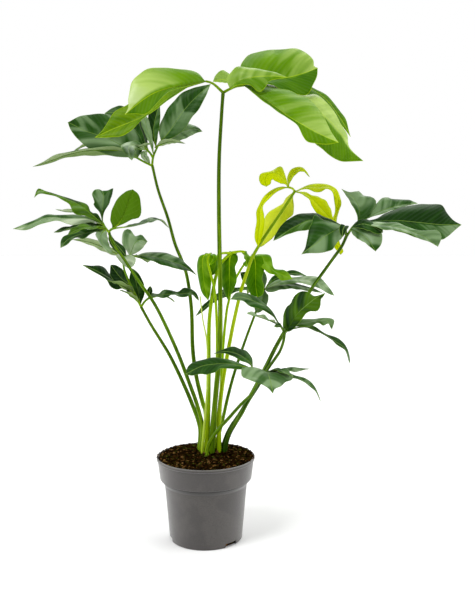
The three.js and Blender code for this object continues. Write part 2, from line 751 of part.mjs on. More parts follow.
        right: [
          [290, 542, 52], [330, 530, 64], [365, 519, 74], [400, 516, 76], [411, 521, 73], [422, 531, 67],
        ],
      },
      {
        rib: [
          [260, 546, 40], [290, 542, 66], [318, 539, 84], [345, 532, 96], [372, 522, 104], [396, 505, 110],
        ],
        left: [
          [287, 547, 54], [305, 546, 66], [326, 545.5, 78], [341, 540, 86], [359, 533, 93], [378, 532, 98],
          [393, 533, 101], [401, 526, 104], [401, 517, 107],
        ],
        right: [
          [287, 539, 72], [302, 534, 86], [317, 533, 97], [333, 531, 103], [350, 526, 108], [363, 519, 112],
          [381, 513, 112],
        ],
      },
      {
        rib: [[247, 535, 47], [262, 528, 60], [275, 518, 70], [283, 508, 78], [290, 497, 82]],
        left: [[262, 542, 52], [280, 539, 55], [296, 533, 61], [301, 522, 70], [299.5, 509, 78]],
        right: [[250, 527, 55], [258, 519, 65], [271, 512, 75], [282, 503, 81]],
      },
      {
        rib: [[249, 537, 46], [265, 543, 58], [282, 540, 66], [302, 529, 70]],
        left: [[256, 547, 46], [267, 552, 49], [281, 549, 51], [293, 542, 56], [301, 536, 64]],
        right: [[262, 536, 62], [280, 531, 72], [292, 526, 75]],
      },
    ],
  },
  {
    name: "frond_middle_right",
    colour: "#35662f",
    foot: [32, 8],
    radii: [4, 2.2],
    petiole: [
      [39, 176, -2], [49, 196, 6], [62, 217, 14], [73, 238, 22], [92, 268, 34], [105, 292, 46],
      [119, 312, 58], [128, 326, 68], [134, 343, 80], [136, 359, 90],
    ],
    arms: [
      [[136, 357, 90], [141, 363, 90], [147, 370, 88]],
      [[136, 357, 90], [131, 366, 86], [126, 374, 82]],
    ],
    leaflets: [
      {
        rib: [
          [137, 359, 90], [149, 377, 97], [162, 394.5, 102], [177, 408, 107], [190, 418, 111],
          [205, 426, 114],
        ],
        left: [
          [133, 367, 88], [133, 380, 85], [134, 391, 82], [139, 402, 82], [146, 408, 86], [150, 418, 84],
          [156, 425, 84], [165, 429, 88], [176, 428, 96], [187, 421, 105],
        ],
        right: [
          [147, 361, 92], [161, 374, 97], [170, 388, 103], [179, 394, 106], [191, 395, 108],
          [197, 404, 109], [198, 415, 110], [202, 420, 112],
        ],
      },
      {
        rib: [[146, 369, 88], [168, 375, 80], [190, 378, 74], [208, 378, 70], [217, 363, 66]],
        left: [
          [159, 379, 76], [172, 382, 66], [187, 381, 60], [199, 383, 56], [213, 383, 54], [221, 378, 58],
        ],
        right: [[160, 368, 90], [178, 368, 87], [193, 374, 82], [202, 370, 79], [211, 373, 72]],
      },
      {
        rib: [
          [141, 363, 90], [172, 368, 82], [198, 358, 76], [222, 343, 72], [240, 329, 70], [248, 305, 66],
        ],
        half: [9, 7], face: [0.3, 0.9, 0.4], widest: 0.72,
      },
      {
        rib: [[128, 371, 83], [110, 379, 96], [92, 385, 104], [71, 391, 108]],
        half: 11, face: [0, 1, 0.2], wave: 3, widest: 0.7,
      },
      {
        rib: [[126, 374, 82], [113, 392, 70], [98, 405, 62], [80, 413, 56], [62, 419, 50], [43, 415, 46]],
        left: [[115, 386, 77], [103, 394, 76], [90, 399, 72], [75, 404, 68], [64, 412, 59], [52, 414, 51]],
        right: [[118, 389, 64], [108, 402, 53], [94, 414, 44], [79, 423, 38], [65, 427, 36], [52, 426, 38]],
      },
      {
        rib: [[136, 360, 90], [129, 369, 100], [118, 368, 106]],
        half: 7, face: [-0.2, 0.8, 0.6], fold: 10, wave: 1,
      },
    ],
  },
  {
    name: "frond_front",
    colour: "#3a6a38",
    foot: [2, -7],
    radii: [3.6, 2.2],
    petiole: [
      [4.7, 160, 10], [12.5, 176, 20], [26, 194, 32], [41.6, 211, 45], [61, 233, 62], [80, 252, 80],
      [90, 272, 96], [104, 292, 110],
    ],
    arms: [
      [[97, 283, 103], [88, 292, 104], [79, 297, 100]],
    ],
    leaflets: [
      {
        rib: [[80, 296, 100], [60, 300, 94], [38, 304, 88], [14, 303, 80], [-8, 299, 73], [-34, 286, 66]],
        left: [
          [62, 294, 100], [40, 295, 102], [25, 296, 100], [17, 289, 98], [4, 285, 92], [-8, 286, 83],
          [-24, 283, 72],
        ],
        right: [
          [67, 302, 92], [51, 308, 82], [33, 313, 71], [17, 315, 62], [-2, 312, 56], [-16, 308.5, 54],
          [-26, 304, 56], [-32, 296, 61],
        ],
      },
      {
        rib: [[82, 295, 101], [75, 307, 84], [62, 317, 72], [48, 323, 62], [32, 325, 52], [14, 321, 42]],
        left: [[75, 303, 94], [61, 309, 83], [48, 316, 72], [36, 321, 61], [24, 321.5, 51]],
        right: [
          [81, 308, 80], [79, 317, 66], [70, 326, 55], [60, 330, 49], [50, 334, 45], [39, 332, 43],
          [26, 327, 41],
        ],
      },
      {
        rib: [[103, 290, 109], [107, 287, 128], [111, 276, 148], [116, 252, 164]],
        left: [
          [115, 292, 110], [136, 287, 114], [150, 286, 119], [150, 277, 131], [138, 272, 142],
          [131, 265, 150], [120, 260, 158],
        ],
        right: [
          [88, 295, 110], [66, 298, 114], [62, 290, 124], [64, 280, 137], [83, 273, 147], [96, 268, 153],
          [108, 261, 159],
        ],
      },
      {
        rib: [[103, 290, 109], [128, 292, 126], [149, 282, 136]],
        half: 11, face: [0.2, 1, 0.2], wave: 1.5,
      },
      {
        rib: [[103, 290, 109], [150, 281, 94], [172, 272, 86], [189, 258, 80], [199, 238, 76]],
        half: 9, face: [0.4, 0.9, 0.3],
      },
      {
        rib: [[103, 290, 109], [130, 290, 72], [155, 293, 46], [180, 295, 26]],
        half: 8, face: [0.1, 1, 0.3],
      },
    ],
  },
];

const SPEAR = {
  foot: [-7, 5],
  radii: [2.4, 1],
  petiole: [[-3, 190, -4], [2, 250, -3], [4, 300, -2], [2, 345, -1], [-4.5, 381, 0], [-9, 421, 0]],
};

const TOWARD = new THREE.Vector3(0, -1, 0);
const SAME_PLACE = 1e-4; // corners nearer than this are one

const wasm = await Module();
wasm.setup();

// The place in millimetres of a point given as [across, up, toward].
function seen([across, up, toward]) {
  const onPlane = new THREE.Vector3(across, 0, up);
  return VIEWPOINT.clone().lerp(onPlane, 1 + toward / VIEWPOINT.y);
}

// Turns a closed geometry into a solid that can be joined and cut.
function solid(geometry) {
  const bare = geometry.clone();
  bare.deleteAttribute("normal");
  bare.deleteAttribute("uv");
  const merged = mergeVertices(bare, SAME_PLACE);
  const corners = merged.index.array;
  const kept = [];
  for (let i = 0; i < corners.length; i += 3) {
    const [a, b, c] = corners.slice(i, i + 3);
    if (a !== b && b !== c && c !== a) kept.push(a, b, c);
  }
  const vertProperties = new Float32Array(merged.attributes.position.array);
  return new wasm.Manifold(new wasm.Mesh({ numProp: 3, vertProperties, triVerts: new Uint32Array(kept) }));
}

// Turns a solid back into a geometry with flat faces.
function geometryOf(made) {
  const { vertProperties, triVerts } = made.getMesh();
  const geometry = new THREE.BufferGeometry();
  geometry.setAttribute("position", new THREE.BufferAttribute(vertProperties, 3));
  geometry.setIndex(new THREE.BufferAttribute(triVerts, 1));
  geometry.computeVertexNormals();
  return geometry;
}

// A closed body through a row of rings, which all have the same number of points. The quads on the sides
// given as turned are split along their other diagonal.
function loft(rings, turned = []) {
  const sides = rings[0].length;
  const positions = rings.flat().flatMap((p) => p.toArray());
  const index = [];
  for (let row = 0; row + 1 < rings.length; row++) {
    for (let side = 0; side < sides; side++) {
      const a = row * sides + side;
      const b = row * sides + ((side + 1) % sides);
      if (turned.includes(side)) index.push(a, a + sides, b + sides, a, b + sides, b);
      else index.push(a, a + sides, b, b, a + sides, b + sides);
    }
  }
  const last = (rings.length - 1) * sides;
  for (let side = 1; side + 1 < sides; side++) {
    index.push(0, side, side + 1, last, last + side + 1, last + side);
  }
  const geometry = new THREE.BufferGeometry();
  geometry.setAttribute("position", new THREE.Float32BufferAttribute(positions, 3));
  geometry.setIndex(index);
  return geometry;
}

// A smooth line over points.
function smooth(points) {
  return new THREE.CatmullRomCurve3(points, false, "catmullrom", 0.5);
}

// Evenly spaced stations along a smooth curve: each has its share of the way, its place, and the
// directions to the side and up from the curve.
function stations(points, face, steps) {
  const curve = smooth(points);
  return Array.from({ length: steps + 1 }, (_, i) => {
    const share = i / steps;
    const along = curve.getTangentAt(share);
    const side = along.clone().cross(face).normalize();
    return { share, place: curve.getPointAt(share), side, up: side.clone().cross(along) };
  });
}

// A round stalk that narrows evenly from its start to its end.
function stalk(points, [startRadius, endRadius], steps) {
  const rings = stations(points, TOWARD, steps).map(({ share, place, side, up }) => {
    const radius = THREE.MathUtils.lerp(startRadius, endRadius, share);
    return Array.from({ length: STALK_SIDES }, (_, k) => {
      const turn = (2 * Math.PI * k) / STALK_SIDES;
      const sideways = side.clone().multiplyScalar(radius * Math.cos(turn));
      return place.clone().add(sideways).addScaledVector(up, radius * Math.sin(turn));
    });
  });
  return loft(rings);
}

// The least half width of a leaflet at a share of its length.
function leastHalfWidth(share) {
  return share < 0.5 ? STALK_HALF_WIDTH : TIP_HALF_WIDTH;
}

// Half the width of a leaflet at a share of its length, as a share of its greatest half width.
function outline(share, widest, taper) {
  const rise = (share / widest) ** widest;
  const fall = ((1 - share) / (1 - widest)) ** (1 - widest);
  return (rise * fall) ** taper;
}

// The sides of a blade's section that run in to the midrib. Their quads are split as the ones that run out
// are, so that the upper and the lower face have the same shape.
const INWARD_SIDES = [2, 5];

// Sections of a leaflet whose row has its half width and face: how far its left and right edge are from the
// midrib follows from its outline, the fold along the midrib and the waves along its edges.
function formedSections(leaflet, steps) {
  const { rib, half, face, fold, wave, widest, taper } = { ...LEAFLET, ...leaflet };
  const facing = new THREE.Vector3(face[0], -face[2], face[1]).normalize();
  const hands = [-1, 1].map((hand, i) => ({
    hand,
    half: [half].flat().at(-i),
    slope: THREE.MathUtils.degToRad([fold].flat().at(-i)),
    widest: [widest].flat().at(-i),
  }));
  return stations(rib.map(seen), facing, steps).map(({ share, place, side, up }) => {
    const edges = hands.map(({ hand, half, slope, widest }) => {
      const fullness = outline(share, widest, taper);
      const width = Math.max(fullness * half, leastHalfWidth(share));
      const ripple = hand * wave * Math.sin(2 * Math.PI * WAVES * share) * 4 * share * (1 - share);
      const out = place.clone().addScaledVector(side, hand * width * Math.cos(slope));
      return out.addScaledVector(up, width * Math.sin(slope) + ripple);
    });
    return { place, up, edges };
  });
}

// Sections of a leaflet whose row has the points of its edges: each edge is a smooth line from the midrib's
// start over its points to the midrib's end, and a section joins the points at one share of the three lines.
function drawnSections({ rib, left, right }, steps) {
  const middle = smooth(rib.map(seen));
  const lines = [left, right].map((points) => smooth([rib[0], ...points, rib.at(-1)].map(seen)));
  return Array.from({ length: steps + 1 }, (_, i) => {
    const share = i / steps;
    const place = middle.getPointAt(share);
    const inside = THREE.MathUtils.clamp(share, NEAR_END, 1 - NEAR_END);
    const [from, to] = lines.map((line) => line.getPointAt(inside));
    const side = to.sub(from).normalize();
    const up = side.clone().cross(middle.getTangentAt(share)).normalize();
    const edges = lines.map((line, k) => {
      const hand = k ? 1 : -1;
      const point = line.getPointAt(share);
      const width = hand * point.clone().sub(place).dot(side);
      return point.addScaledVector(side, hand * Math.max(leastHalfWidth(share) - width, 0));
    });
    return { place, up, edges };
  });
}

// A leaflet: a thin blade on both sides of a curved midrib.
function blade(leaflet) {
  const length = smooth(leaflet.rib.map(seen)).getLength();
  const steps = THREE.MathUtils.clamp(Math.round(length / BLADE_STEP), ...BLADE_STEPS);
  const sections = leaflet.left ? drawnSections(leaflet, steps + 1) : formedSections(leaflet, steps);
  const rings = sections.map(({ place, up, edges: [left, right] }) => {
    const thick = BLADE_THICKNESS / 2;
    const upper = [place, left, right].map((point) => point.clone().addScaledVector(up, thick));
    const lower = [left, place, right].map((point) => point.clone().addScaledVector(up, -thick));
    return [upper[0], upper[1], ...lower, upper[2]];
  });
  return loft(rings, INWARD_SIDES);
}

// The line of a petiole, from its foot in the soil to its top.
function petioleLine({ foot: [x, y], petiole }, depth) {
  return [new THREE.Vector3(x, y, depth), new THREE.Vector3(x, y, POT_HEIGHT), ...petiole.map(seen)];
}

function petioleGeometry(plant, wider = 0) {
  const radii = plant.radii.map((radius) => radius + wider);
  return stalk(petioleLine(plant, FOOT_DEPTH - wider), radii, plant.petiole.length + PETIOLE_EXTRA_STEPS);
}

// A whole frond as one body: its petiole, the arms at its top and the leaflets on them.
function frondGeometry(frond) {
  let whole = solid(petioleGeometry(frond));
  for (const arm of frond.arms) {
    const radii = [frond.radii[1], ARM_RADIUS];
    whole = whole.add(solid(stalk(arm.map(seen), radii, 2 * arm.length - 2)));
  }
  for (const leaflet of frond.leaflets) whole = whole.add(solid(blade(leaflet)));
  return geometryOf(whole);
}

// A body of revolution about the pot's axis from a closed profile of [radius, height].
function turned(profile) {
  const closed = [...profile, profile[0]].map(([radius, height]) => new THREE.Vector2(radius, height));
  return new THREE.LatheGeometry(closed, POT_SEGMENTS).rotateX(Math.PI / 2);
}

// The inside of the pot, from the middle of its floor to the rim.
const POT_INSIDE = [
  [BASE_RADIUS - WALL, FLOOR],
  [SHOULDER_RADIUS - WALL, SHOULDER_HEIGHT + WALL / 2],
  [COLLAR_RADIUS - WALL, COLLAR_HEIGHT + WALL / 2],
  [RIM_RADIUS - BEAD_STANDS_OUT - WALL, POT_HEIGHT - RIM_ROUNDING],
];

function potGeometry() {
  const inner = RIM_RADIUS - BEAD_STANDS_OUT;
  const outside = [
    [BASE_RADIUS, 0],
    [SHOULDER_RADIUS, SHOULDER_HEIGHT],
    [COLLAR_RADIUS, COLLAR_HEIGHT],
    [inner, POT_HEIGHT - BEAD_DEPTH],
    [RIM_RADIUS, POT_HEIGHT - BEAD_DEPTH + BEAD_CHAMFER],
    [RIM_RADIUS, POT_HEIGHT - RIM_ROUNDING],
    [RIM_RADIUS - RIM_ROUNDING, POT_HEIGHT],
    [inner - WALL / 2, POT_HEIGHT],
  ];
  let pot = solid(turned([[0, 0], ...outside, ...POT_INSIDE.toReversed(), [0, FLOOR]]));
  for (const turn of NOTCH_TURNS) {
    const cutter = new THREE.BoxGeometry(NOTCH_WIDTH, NOTCH_CUT, 2 * NOTCH_HEIGHT);
    cutter.translate(0, -BASE_RADIUS, 0).rotateZ(THREE.MathUtils.degToRad(turn));
    pot = pot.subtract(solid(cutter));
  }
  return geometryOf(pot);
}

// The soil follows the pot's inside, its top is crowned and lumpy, and each stalk has its hole in it.
function soilGeometry() {
  const side = POT_INSIDE.slice(0, -1).map(([radius, height]) => [radius - GAP, height + GAP]);
  const edge = POT_INSIDE.at(-1)[0] - 1.5 * GAP;
  side.push([edge, SOIL_EDGE_HEIGHT]);
  const top = Array.from({ length: SOIL_RINGS }, (_, k) => {
    const radius = edge * (1 - (k + 1) / SOIL_RINGS);
    return [radius, SOIL_EDGE_HEIGHT + SOIL_CROWN * (1 - (radius / edge) ** 2)];
  });
  const body = turned([[0, FLOOR + GAP], ...side, ...top]);
  const position = body.attributes.position;
  for (let i = 0; i < position.count; i++) {
    const [x, y, z] = [position.getX(i), position.getY(i), position.getZ(i)];
    if (z <= SOIL_EDGE_HEIGHT) continue;
    const [[across, back], [slantAcross, slantBack]] = LUMP_WAVES;
    const slant = Math.sin(slantAcross * x - slantBack * y);
    const lump = Math.cos(across * x) * Math.cos(back * y) + slant / 2;
    position.setZ(i, z + SOIL_LUMP * lump);
  }
  let soil = solid(body).subtract(solid(stumpGeometry(GAP)));
  for (const plant of [...FRONDS, SPEAR]) soil = soil.subtract(solid(petioleGeometry(plant, GAP)));
  return geometryOf(soil);
}

// The stub of an old stalk, which narrows a little to its top.
function stumpGeometry(wider = 0) {
  const bottom = FOOT_DEPTH - wider;
  const radii = [STUMP_TOP_RADIUS + wider, STUMP_RADIUS + wider];
  const stump = new THREE.CylinderGeometry(...radii, STUMP_TOP - bottom, STUMP_SIDES);
  return stump.rotateX(Math.PI / 2).translate(...STUMP_PLACE, (STUMP_TOP + bottom) / 2);
}

function mesh(name, geometry, color, roughness) {
  const made = new THREE.Mesh(geometry, new THREE.MeshStandardMaterial({ color, roughness, metalness: 0 }));
  made.name = name;
  return made;
}

const MATT = 0.9;
const SATIN = 0.5;

const plant = new THREE.Group();
plant.add(mesh("pot", potGeometry(), "#6e6b68", SATIN));
plant.add(mesh("soil", soilGeometry(), "#2a1c10", MATT));
plant.add(mesh("stump", stumpGeometry(), "#6b5638", MATT));
plant.add(mesh("new_spear", petioleGeometry(SPEAR), "#b9c46a", SATIN));
for (const frond of FRONDS) {
  plant.add(mesh(frond.name, frondGeometry(frond), frond.colour, SATIN));
}

export default plant;
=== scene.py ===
import math

import bpy
import numpy as np
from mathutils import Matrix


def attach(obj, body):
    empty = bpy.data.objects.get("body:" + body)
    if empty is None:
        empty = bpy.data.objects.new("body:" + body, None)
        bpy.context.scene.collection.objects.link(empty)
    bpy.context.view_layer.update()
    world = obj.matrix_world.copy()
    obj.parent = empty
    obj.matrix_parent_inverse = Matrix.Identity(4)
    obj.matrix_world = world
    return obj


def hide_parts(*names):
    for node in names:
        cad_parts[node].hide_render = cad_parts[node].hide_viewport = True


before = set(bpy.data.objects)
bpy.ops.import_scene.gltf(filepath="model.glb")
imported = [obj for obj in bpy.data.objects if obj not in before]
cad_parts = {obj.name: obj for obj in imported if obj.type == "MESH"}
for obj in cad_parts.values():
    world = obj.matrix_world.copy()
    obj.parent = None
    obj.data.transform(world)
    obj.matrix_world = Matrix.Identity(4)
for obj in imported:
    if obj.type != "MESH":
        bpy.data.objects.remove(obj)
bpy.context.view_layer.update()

# Lengths are millimetres here, and become metres where a mesh is made.
METRE = 1000.0
EYE = np.array((55.0, -1194.0, 501.0))
LOOKING_DOWN = math.atan(51 / 700)
TOWARD = np.array((0.0, -1.0, 0.0))

# The pot, with its shoulder and collar as (radius, height), and its notches as turns in degrees and a size
RIM_RADIUS = 85.0
POT_HEIGHT = 143.0
BASE_RADIUS = 63.0
SHOULDER = (71.4, 96.0)
COLLAR = (79.2, 105.5)
BEAD_DEPTH = 5.0
BEAD_STANDS_OUT = 1.6
WALL = 1.6
FLOOR = 2.4
NEAR_AXIS = 0.5
CORNER_ROUNDING = 1.4
SHARP_EDGE = 38
NOTCH_TURNS = (-75, 45, 165)
NOTCH_SIZE = (25.0, 12.0, 14.0)
POT_COLUMNS = 160

# The soil with its lumps as (height, size, seed), the stalks' feet and the old stump in it, and the loose
# bits, of which some lie on the brink of the rim
SOIL_GAP = 0.45
SOIL_SIDE = 137.5
SOIL_EDGE = 142.4
SOIL_CROWN = 2.1
LUMPS = ((1.2, 19, 1), (1.3, 7, 2), (0.9, 2.6, 3))
LUMP_SHIFT = 300
MOUND_PLACE = (8, 14)
MOUND_HEIGHT = 2.5
MOUND_SPREAD = 26
SOIL_RINGS = 90
SOIL_COLUMNS = 220
FOOT_DEPTH = 112.0
STUMP_PLACE = (4.0, 38.0)
STUMP_HEIGHTS = (FOOT_DEPTH, 132, 147, 158)
STUMP_RADII = (5, 4)
BRINK_RADIUS = 82.5
BRINK_TURNS = (-25, 205)
BRINK_BITS = 83
BIT_RINGS, BIT_COLUMNS = 4, 6

# Stalks. Their last rows are this near the end, as shares of its radius, and an arm starts with a share of
# its petiole's radius.
STALK_COLUMNS = 16
STALK_ROWS = (6, 110)
END_ROWS = np.array((0.6, 0.3, 0.1))
CHANNEL_TURN = 0.6 * np.pi
CHANNEL_SPREAD = 0.1
ARM_START, ARM_END = 0.9, 1.7

# Leaflets
ROW_STEP = 2.6
LEAFLET_ROWS = (26, 76)
BLADE_COLUMNS = 10
BLADE_THICKNESS = 0.6
ARCH = 0.1
FLUTTER = 0.6
UNEVENNESS = 0.015
WAVES = 2.5
STEM_WIDTH, TIP_WIDTH = 1.1, 0.25
NEAR_END = 0.06
VEIN_SPACING = 9.0
VEIN_SLANT = 0.9
VEIN_STAGGER = 0.4
RIB_RADII = (1.25, 0.3)
RIB_DROP = 0.45
RIB_SHARE = 0.97

# Each leaflet has its midrib's points from the root as (across, up, toward), and either the points of its
# left and right edge on the way from root to tip, looking to the tip, or a form: its half width, the way its
# upper side faces as (right, up, toward), the degrees that each half is folded up from flat, the wave of its
# edges, the share of its length where it is widest, and its taper, low for a full, blunt leaflet. Tone goes
# from -1, darker, to 2, paler, and fresh from 0 to 1, a livelier green. Tone is partly the leaflet's own
# colour and partly painted shade and painted sheen, and above 1 it is all painted sheen. A pair of values is
# for the halves left and right of the midrib, and a pair within a tone goes from the root to the tip.
CROWN = dict(
    name="frond_crown", look="bright", foot=(11, 6), radii=(5, 2.8),
    petiole=[(11, 178, -4), (18, 257, 0), (24.6, 338, 3), (25.4, 430, 4), (23.5, 565, 4), (24, 650, 3),
        (28, 722, 2), (31, 764, 0)],
    arms=[
        [(31, 762, 0), (14, 777, 6), (1, 781, 10)],
        [(31, 762, 0), (40, 767, -2), (52, 772, -3), (67, 774, 2)],
    ],
    leaflets=[
        dict(
            rib=[(1, 781, 10), (-14, 778, 22), (-50, 771.5, 38), (-75, 765, 48), (-91, 758, 54),
                (-108, 747, 59), (-123, 735, 63), (-134, 726, 65)],
            left=[(-18, 776, 20), (-38, 772, 28), (-59, 764, 34), (-76, 749, 38), (-90, 733, 44),
                (-102, 726, 50), (-118, 727, 58)],
            right=[(-14, 796, 6), (-44, 801, 16), (-85, 803, 28), (-109, 793, 38), (-122, 778, 48),
                (-128, 752, 58), (-128, 738, 62)],
            tone=((-0.25, -0.6), (-0.4, 1.6))),
        dict(
            rib=[(1, 781, 8), (-40, 767, 0), (-75, 743, -6), (-101, 724, -8), (-123, 714, -8),
                (-155, 701.5, -6), (-185, 688, -2)],
            left=[(-31, 769, 6), (-74, 740, 4), (-100, 721.5, 4), (-113, 710, 6), (-126, 698, 8),
                (-141, 690, 8), (-164, 688, 3)],
            right=[(-40, 779, -12), (-80, 768, -20), (-110, 754, -22), (-129, 743, -20), (-150, 731, -16),
                (-161, 717, -11), (-172, 700, -6)],
            tone=((-0.8, -0.4), (-0.3, -0.6)), fresh=0.75),
        dict(
            rib=[(54, 772, -4), (40, 781, -20), (27, 783, -34), (14, 780, -44)],
            left=[(48, 776, -10), (36, 778, -20), (24, 779, -32)],
            right=[(47, 788, -26), (37, 796, -38), (30, 799, -44), (19, 792, -46)],
            tone=0.2),
        dict(
            rib=[(42, 768, -2), (56, 780, 6), (80, 787, 12), (110, 789, 12), (139, 787, 8)],
            left=[(37, 785, -4), (46, 798, -8), (58, 805, -10), (82, 802, -4), (112, 797, 2)],
            right=[(56, 774, 12), (74, 775, 20), (90, 764, 26), (102, 771, 24), (110, 782, 16)],
            tone=(0.35, 0)),
        dict(
            rib=[(60, 774, -3), (84, 779, -20), (110, 783.5, -34), (139, 787, -44), (166, 794, -49),
                (189, 802.5, -50)],
            left=[(60, 804, -34), (69, 820, -60), (89, 829, -74), (123, 833, -82), (151, 834, -80),
                (169, 828, -72), (181, 816, -62), (183, 806, -54)],
            right=[(86, 774, -8), (108, 776, -18), (124, 769, -22), (139, 764, -25), (163, 757.5, -30),
                (173, 760, -34), (182, 775, -40), (188, 790, -46)],
            tone=((-1, 0.8), (-0.6, -1))),
        dict(
            rib=[(67, 774, 2), (88, 760, 20), (115, 741, 38), (142, 722, 52), (170, 706, 62), (197, 692, 70),
                (225, 679.5, 74)],
            left=[(84, 776, -2), (105, 771, 0), (127, 769, 4), (151, 762, 10), (175, 751, 22),
                (193, 734, 34), (203, 716, 46), (213, 697, 60)],
            right=[(86, 757, 18), (112, 738, 34), (137, 721, 48), (154, 710, 58), (165, 690, 66),
                (173, 680.5, 70), (187, 678, 73), (206, 676.5, 74)],
            tone=((-0.5, 0.75), (-0.9, -0.2))),
        dict(
            rib=[(66, 774, 1), (110, 766, -20), (160, 752, -32), (200, 724, -36), (228, 695, -34),
                (246, 668, -32), (267, 649, -28)],
            left=[(110, 776, -40), (166, 759, -52), (183, 760, -56), (198, 753, -56), (216, 732, -54),
                (230, 708, -48), (240, 692, -42), (242, 672, -38), (251, 657, -32)],
            right=[(110, 752, 0), (150, 726, -10), (176, 690, -18), (186, 677, -22), (197, 670, -24),
                (212, 656, -26), (229, 649, -27), (246, 648, -27)],
            tone=((0.4, 1.1), (-0.7, -0.3))),
        dict(
            rib=[(58, 773, -3), (110, 784, -60), (150, 779, -84), (185, 764, -94), (206, 748, -98),
                (226, 722, -102), (238, 703, -104), (245, 689, -104)],
            left=[(110, 800, -80), (150, 788, -96), (180, 771, -104), (201, 760, -106), (214, 748, -107),
                (228, 731, -108), (237, 718, -107), (242, 700, -106)],
            right=[(110, 770, -44), (150, 758, -66), (182, 748, -78), (200, 736, -86), (214, 726, -92),
                (228, 710, -98), (238, 698, -102)],
            tone=-0.5),
    ],
)
UPPER_LEFT = dict(
    name="frond_upper_left", look="dark", foot=(1, 24), radii=(4.3, 2.4),
    petiole=[(0, 217, -30), (-5, 235, -34), (-16, 282, -44), (-22, 331, -52), (-24, 400, -62),
        (-33, 462, -70), (-51, 509, -77), (-63, 553, -82), (-79, 600, -87), (-89, 643, -90)],
    arms=[
        [(-89, 641, -90), (-107, 650, -84), (-119, 657, -76)],
        [(-89, 641, -90), (-87, 656, -94), (-80, 672, -98), (-74, 682, -100)],
        [(-88, 655, -94), (-92, 662, -92), (-99, 669, -90)],
    ],
    leaflets=[
        dict(
            rib=[(-109, 652, -83), (-141, 665, -64), (-163, 667.5, -52), (-197, 666.5, -38),
                (-230, 660, -26), (-253, 652, -16), (-290, 639.5, -8)],
            left=[(-141, 671, -46), (-163, 673, -34), (-201, 669, -18), (-226, 664, -8), (-253, 659, -2),
                (-275, 646, -3)],
            right=[(-123, 654.5, -92), (-152, 657.5, -82), (-186, 658, -68), (-208, 657, -54),
                (-231, 655, -40), (-253, 648, -28), (-275, 641.5, -15)],
            tone=(0.4, -0.1)),
        dict(
            rib=[(-115, 655, -79), (-155, 673, -94), (-195, 675, -102), (-213, 669, -104),
                (-225, 660, -104)],
            half=17, face=(0, 1, 0.2)),
        dict(
            rib=[(-112, 656, -80), (-139, 674, -72), (-168, 688, -66), (-186, 694, -64), (-202, 699, -62),
                (-217, 707, -60), (-230, 713, -58)],
            left=[(-130, 655, -64), (-150, 656, -56), (-175, 663, -50), (-195, 670, -46), (-207, 679, -47),
                (-218, 690, -50), (-226, 702, -54)],
            right=[(-105, 668, -88), (-106, 684, -92), (-118, 702, -94), (-138, 716, -94), (-160, 725, -92),
                (-179, 727.5, -86), (-195, 726, -80), (-210, 723, -72), (-221, 718, -64)],
            tone=((0.9, 0.4), (0.4, 0.1))),
        dict(
            rib=[(-98, 668, -90), (-122, 698, -110), (-140, 720, -120), (-156, 729, -126),
                (-168, 728, -128)],
            left=[(-122, 685, -100), (-142, 704, -108), (-158, 718, -118)],
            right=[(-106, 700, -112), (-120, 728, -128), (-138, 740, -134), (-153, 738, -134)],
            tone=-0.3),
        dict(
            rib=[(-96, 668, -90), (-104, 690, -118), (-116, 712, -150), (-124, 724, -180)],
            half=16, face=(-0.6, 0.6, 0.5), tone=-1),
        dict(
            rib=[(-86, 660, -95), (-92, 682, -86), (-98, 706, -78), (-103, 727, -72)],
            left=[(-94, 680, -82), (-104, 702, -74), (-108, 718, -71)],
            right=[(-87, 680, -92), (-90, 702, -87), (-96, 721, -78)],
            tone=0.7),
        dict(
            rib=[(-82, 670, -98), (-86, 698, -102), (-82, 722, -106), (-75.5, 744, -110)],
            left=[(-90, 690, -103), (-96, 712, -106), (-92, 731, -109)],
            right=[(-79, 690, -100), (-75, 714, -103), (-74.5, 732, -107)],
            tone=(-0.9, -0.1)),
        dict(
            rib=[(-74, 682, -100), (-60, 697, -103), (-40, 726, -106), (-18, 751, -107), (10, 776, -104)],
            left=[(-77, 700, -106), (-71, 720, -111), (-58, 741, -115), (-40, 760, -117), (-22, 769, -115),
                (-6, 773, -110)],
            right=[(-60, 685, -95), (-38, 698, -92), (-22, 720, -92), (-13, 731, -94), (-3, 746, -97),
                (6, 766, -101)],
            tone=((0.7, -0.1), (-0.5, 0.8))),
        dict(
            rib=[(-75, 680, -100), (-54, 691, -112), (-32, 700, -124), (-16, 702, -132), (-4, 698, -138)],
            left=[(-66, 692, -114), (-50, 704, -128), (-33, 711, -139), (-20, 709, -144), (-10, 704, -143)],
            right=[(-60, 684, -101), (-44, 682.5, -104), (-29, 688, -114), (-15, 695, -127)],
            tone=(0.3, 0.6)),
        dict(
            rib=[(-84, 672, -96), (-70, 678, -82), (-55, 681, -66), (-33, 678, -50)],
            left=[(-72, 674, -94), (-60, 677, -82), (-46, 679, -64)],
            right=[(-72, 684, -72), (-56, 686, -56), (-44, 683, -48)],
            tone=0.4),
        dict(
            rib=[(-98, 668, -90), (-118, 675, -62), (-128, 671, -38), (-127, 662, -20), (-123, 650, -8)],
            left=[(-108, 668, -70), (-117, 670, -46), (-117, 664, -28), (-119, 656, -15)],
            right=[(-114, 682, -70), (-134, 679, -50), (-142, 674, -36), (-138, 666, -24), (-131, 657, -13)],
            tone=0.8),
        dict(
            rib=[(-96, 666, -91), (-103, 661, -76), (-100, 653, -66), (-92.5, 645, -58)],
            half=7, face=(0.3, 0.6, 0.7), fold=10, wave=1, tone=0.9),
        dict(
            rib=[(-99, 668, -90), (-114, 670, -72), (-106, 674, -54), (-87, 679, -44)],
            half=6, face=(0, 1, -0.3), fold=10, wave=1, tone=0.8, fresh=0.2),
    ],
)
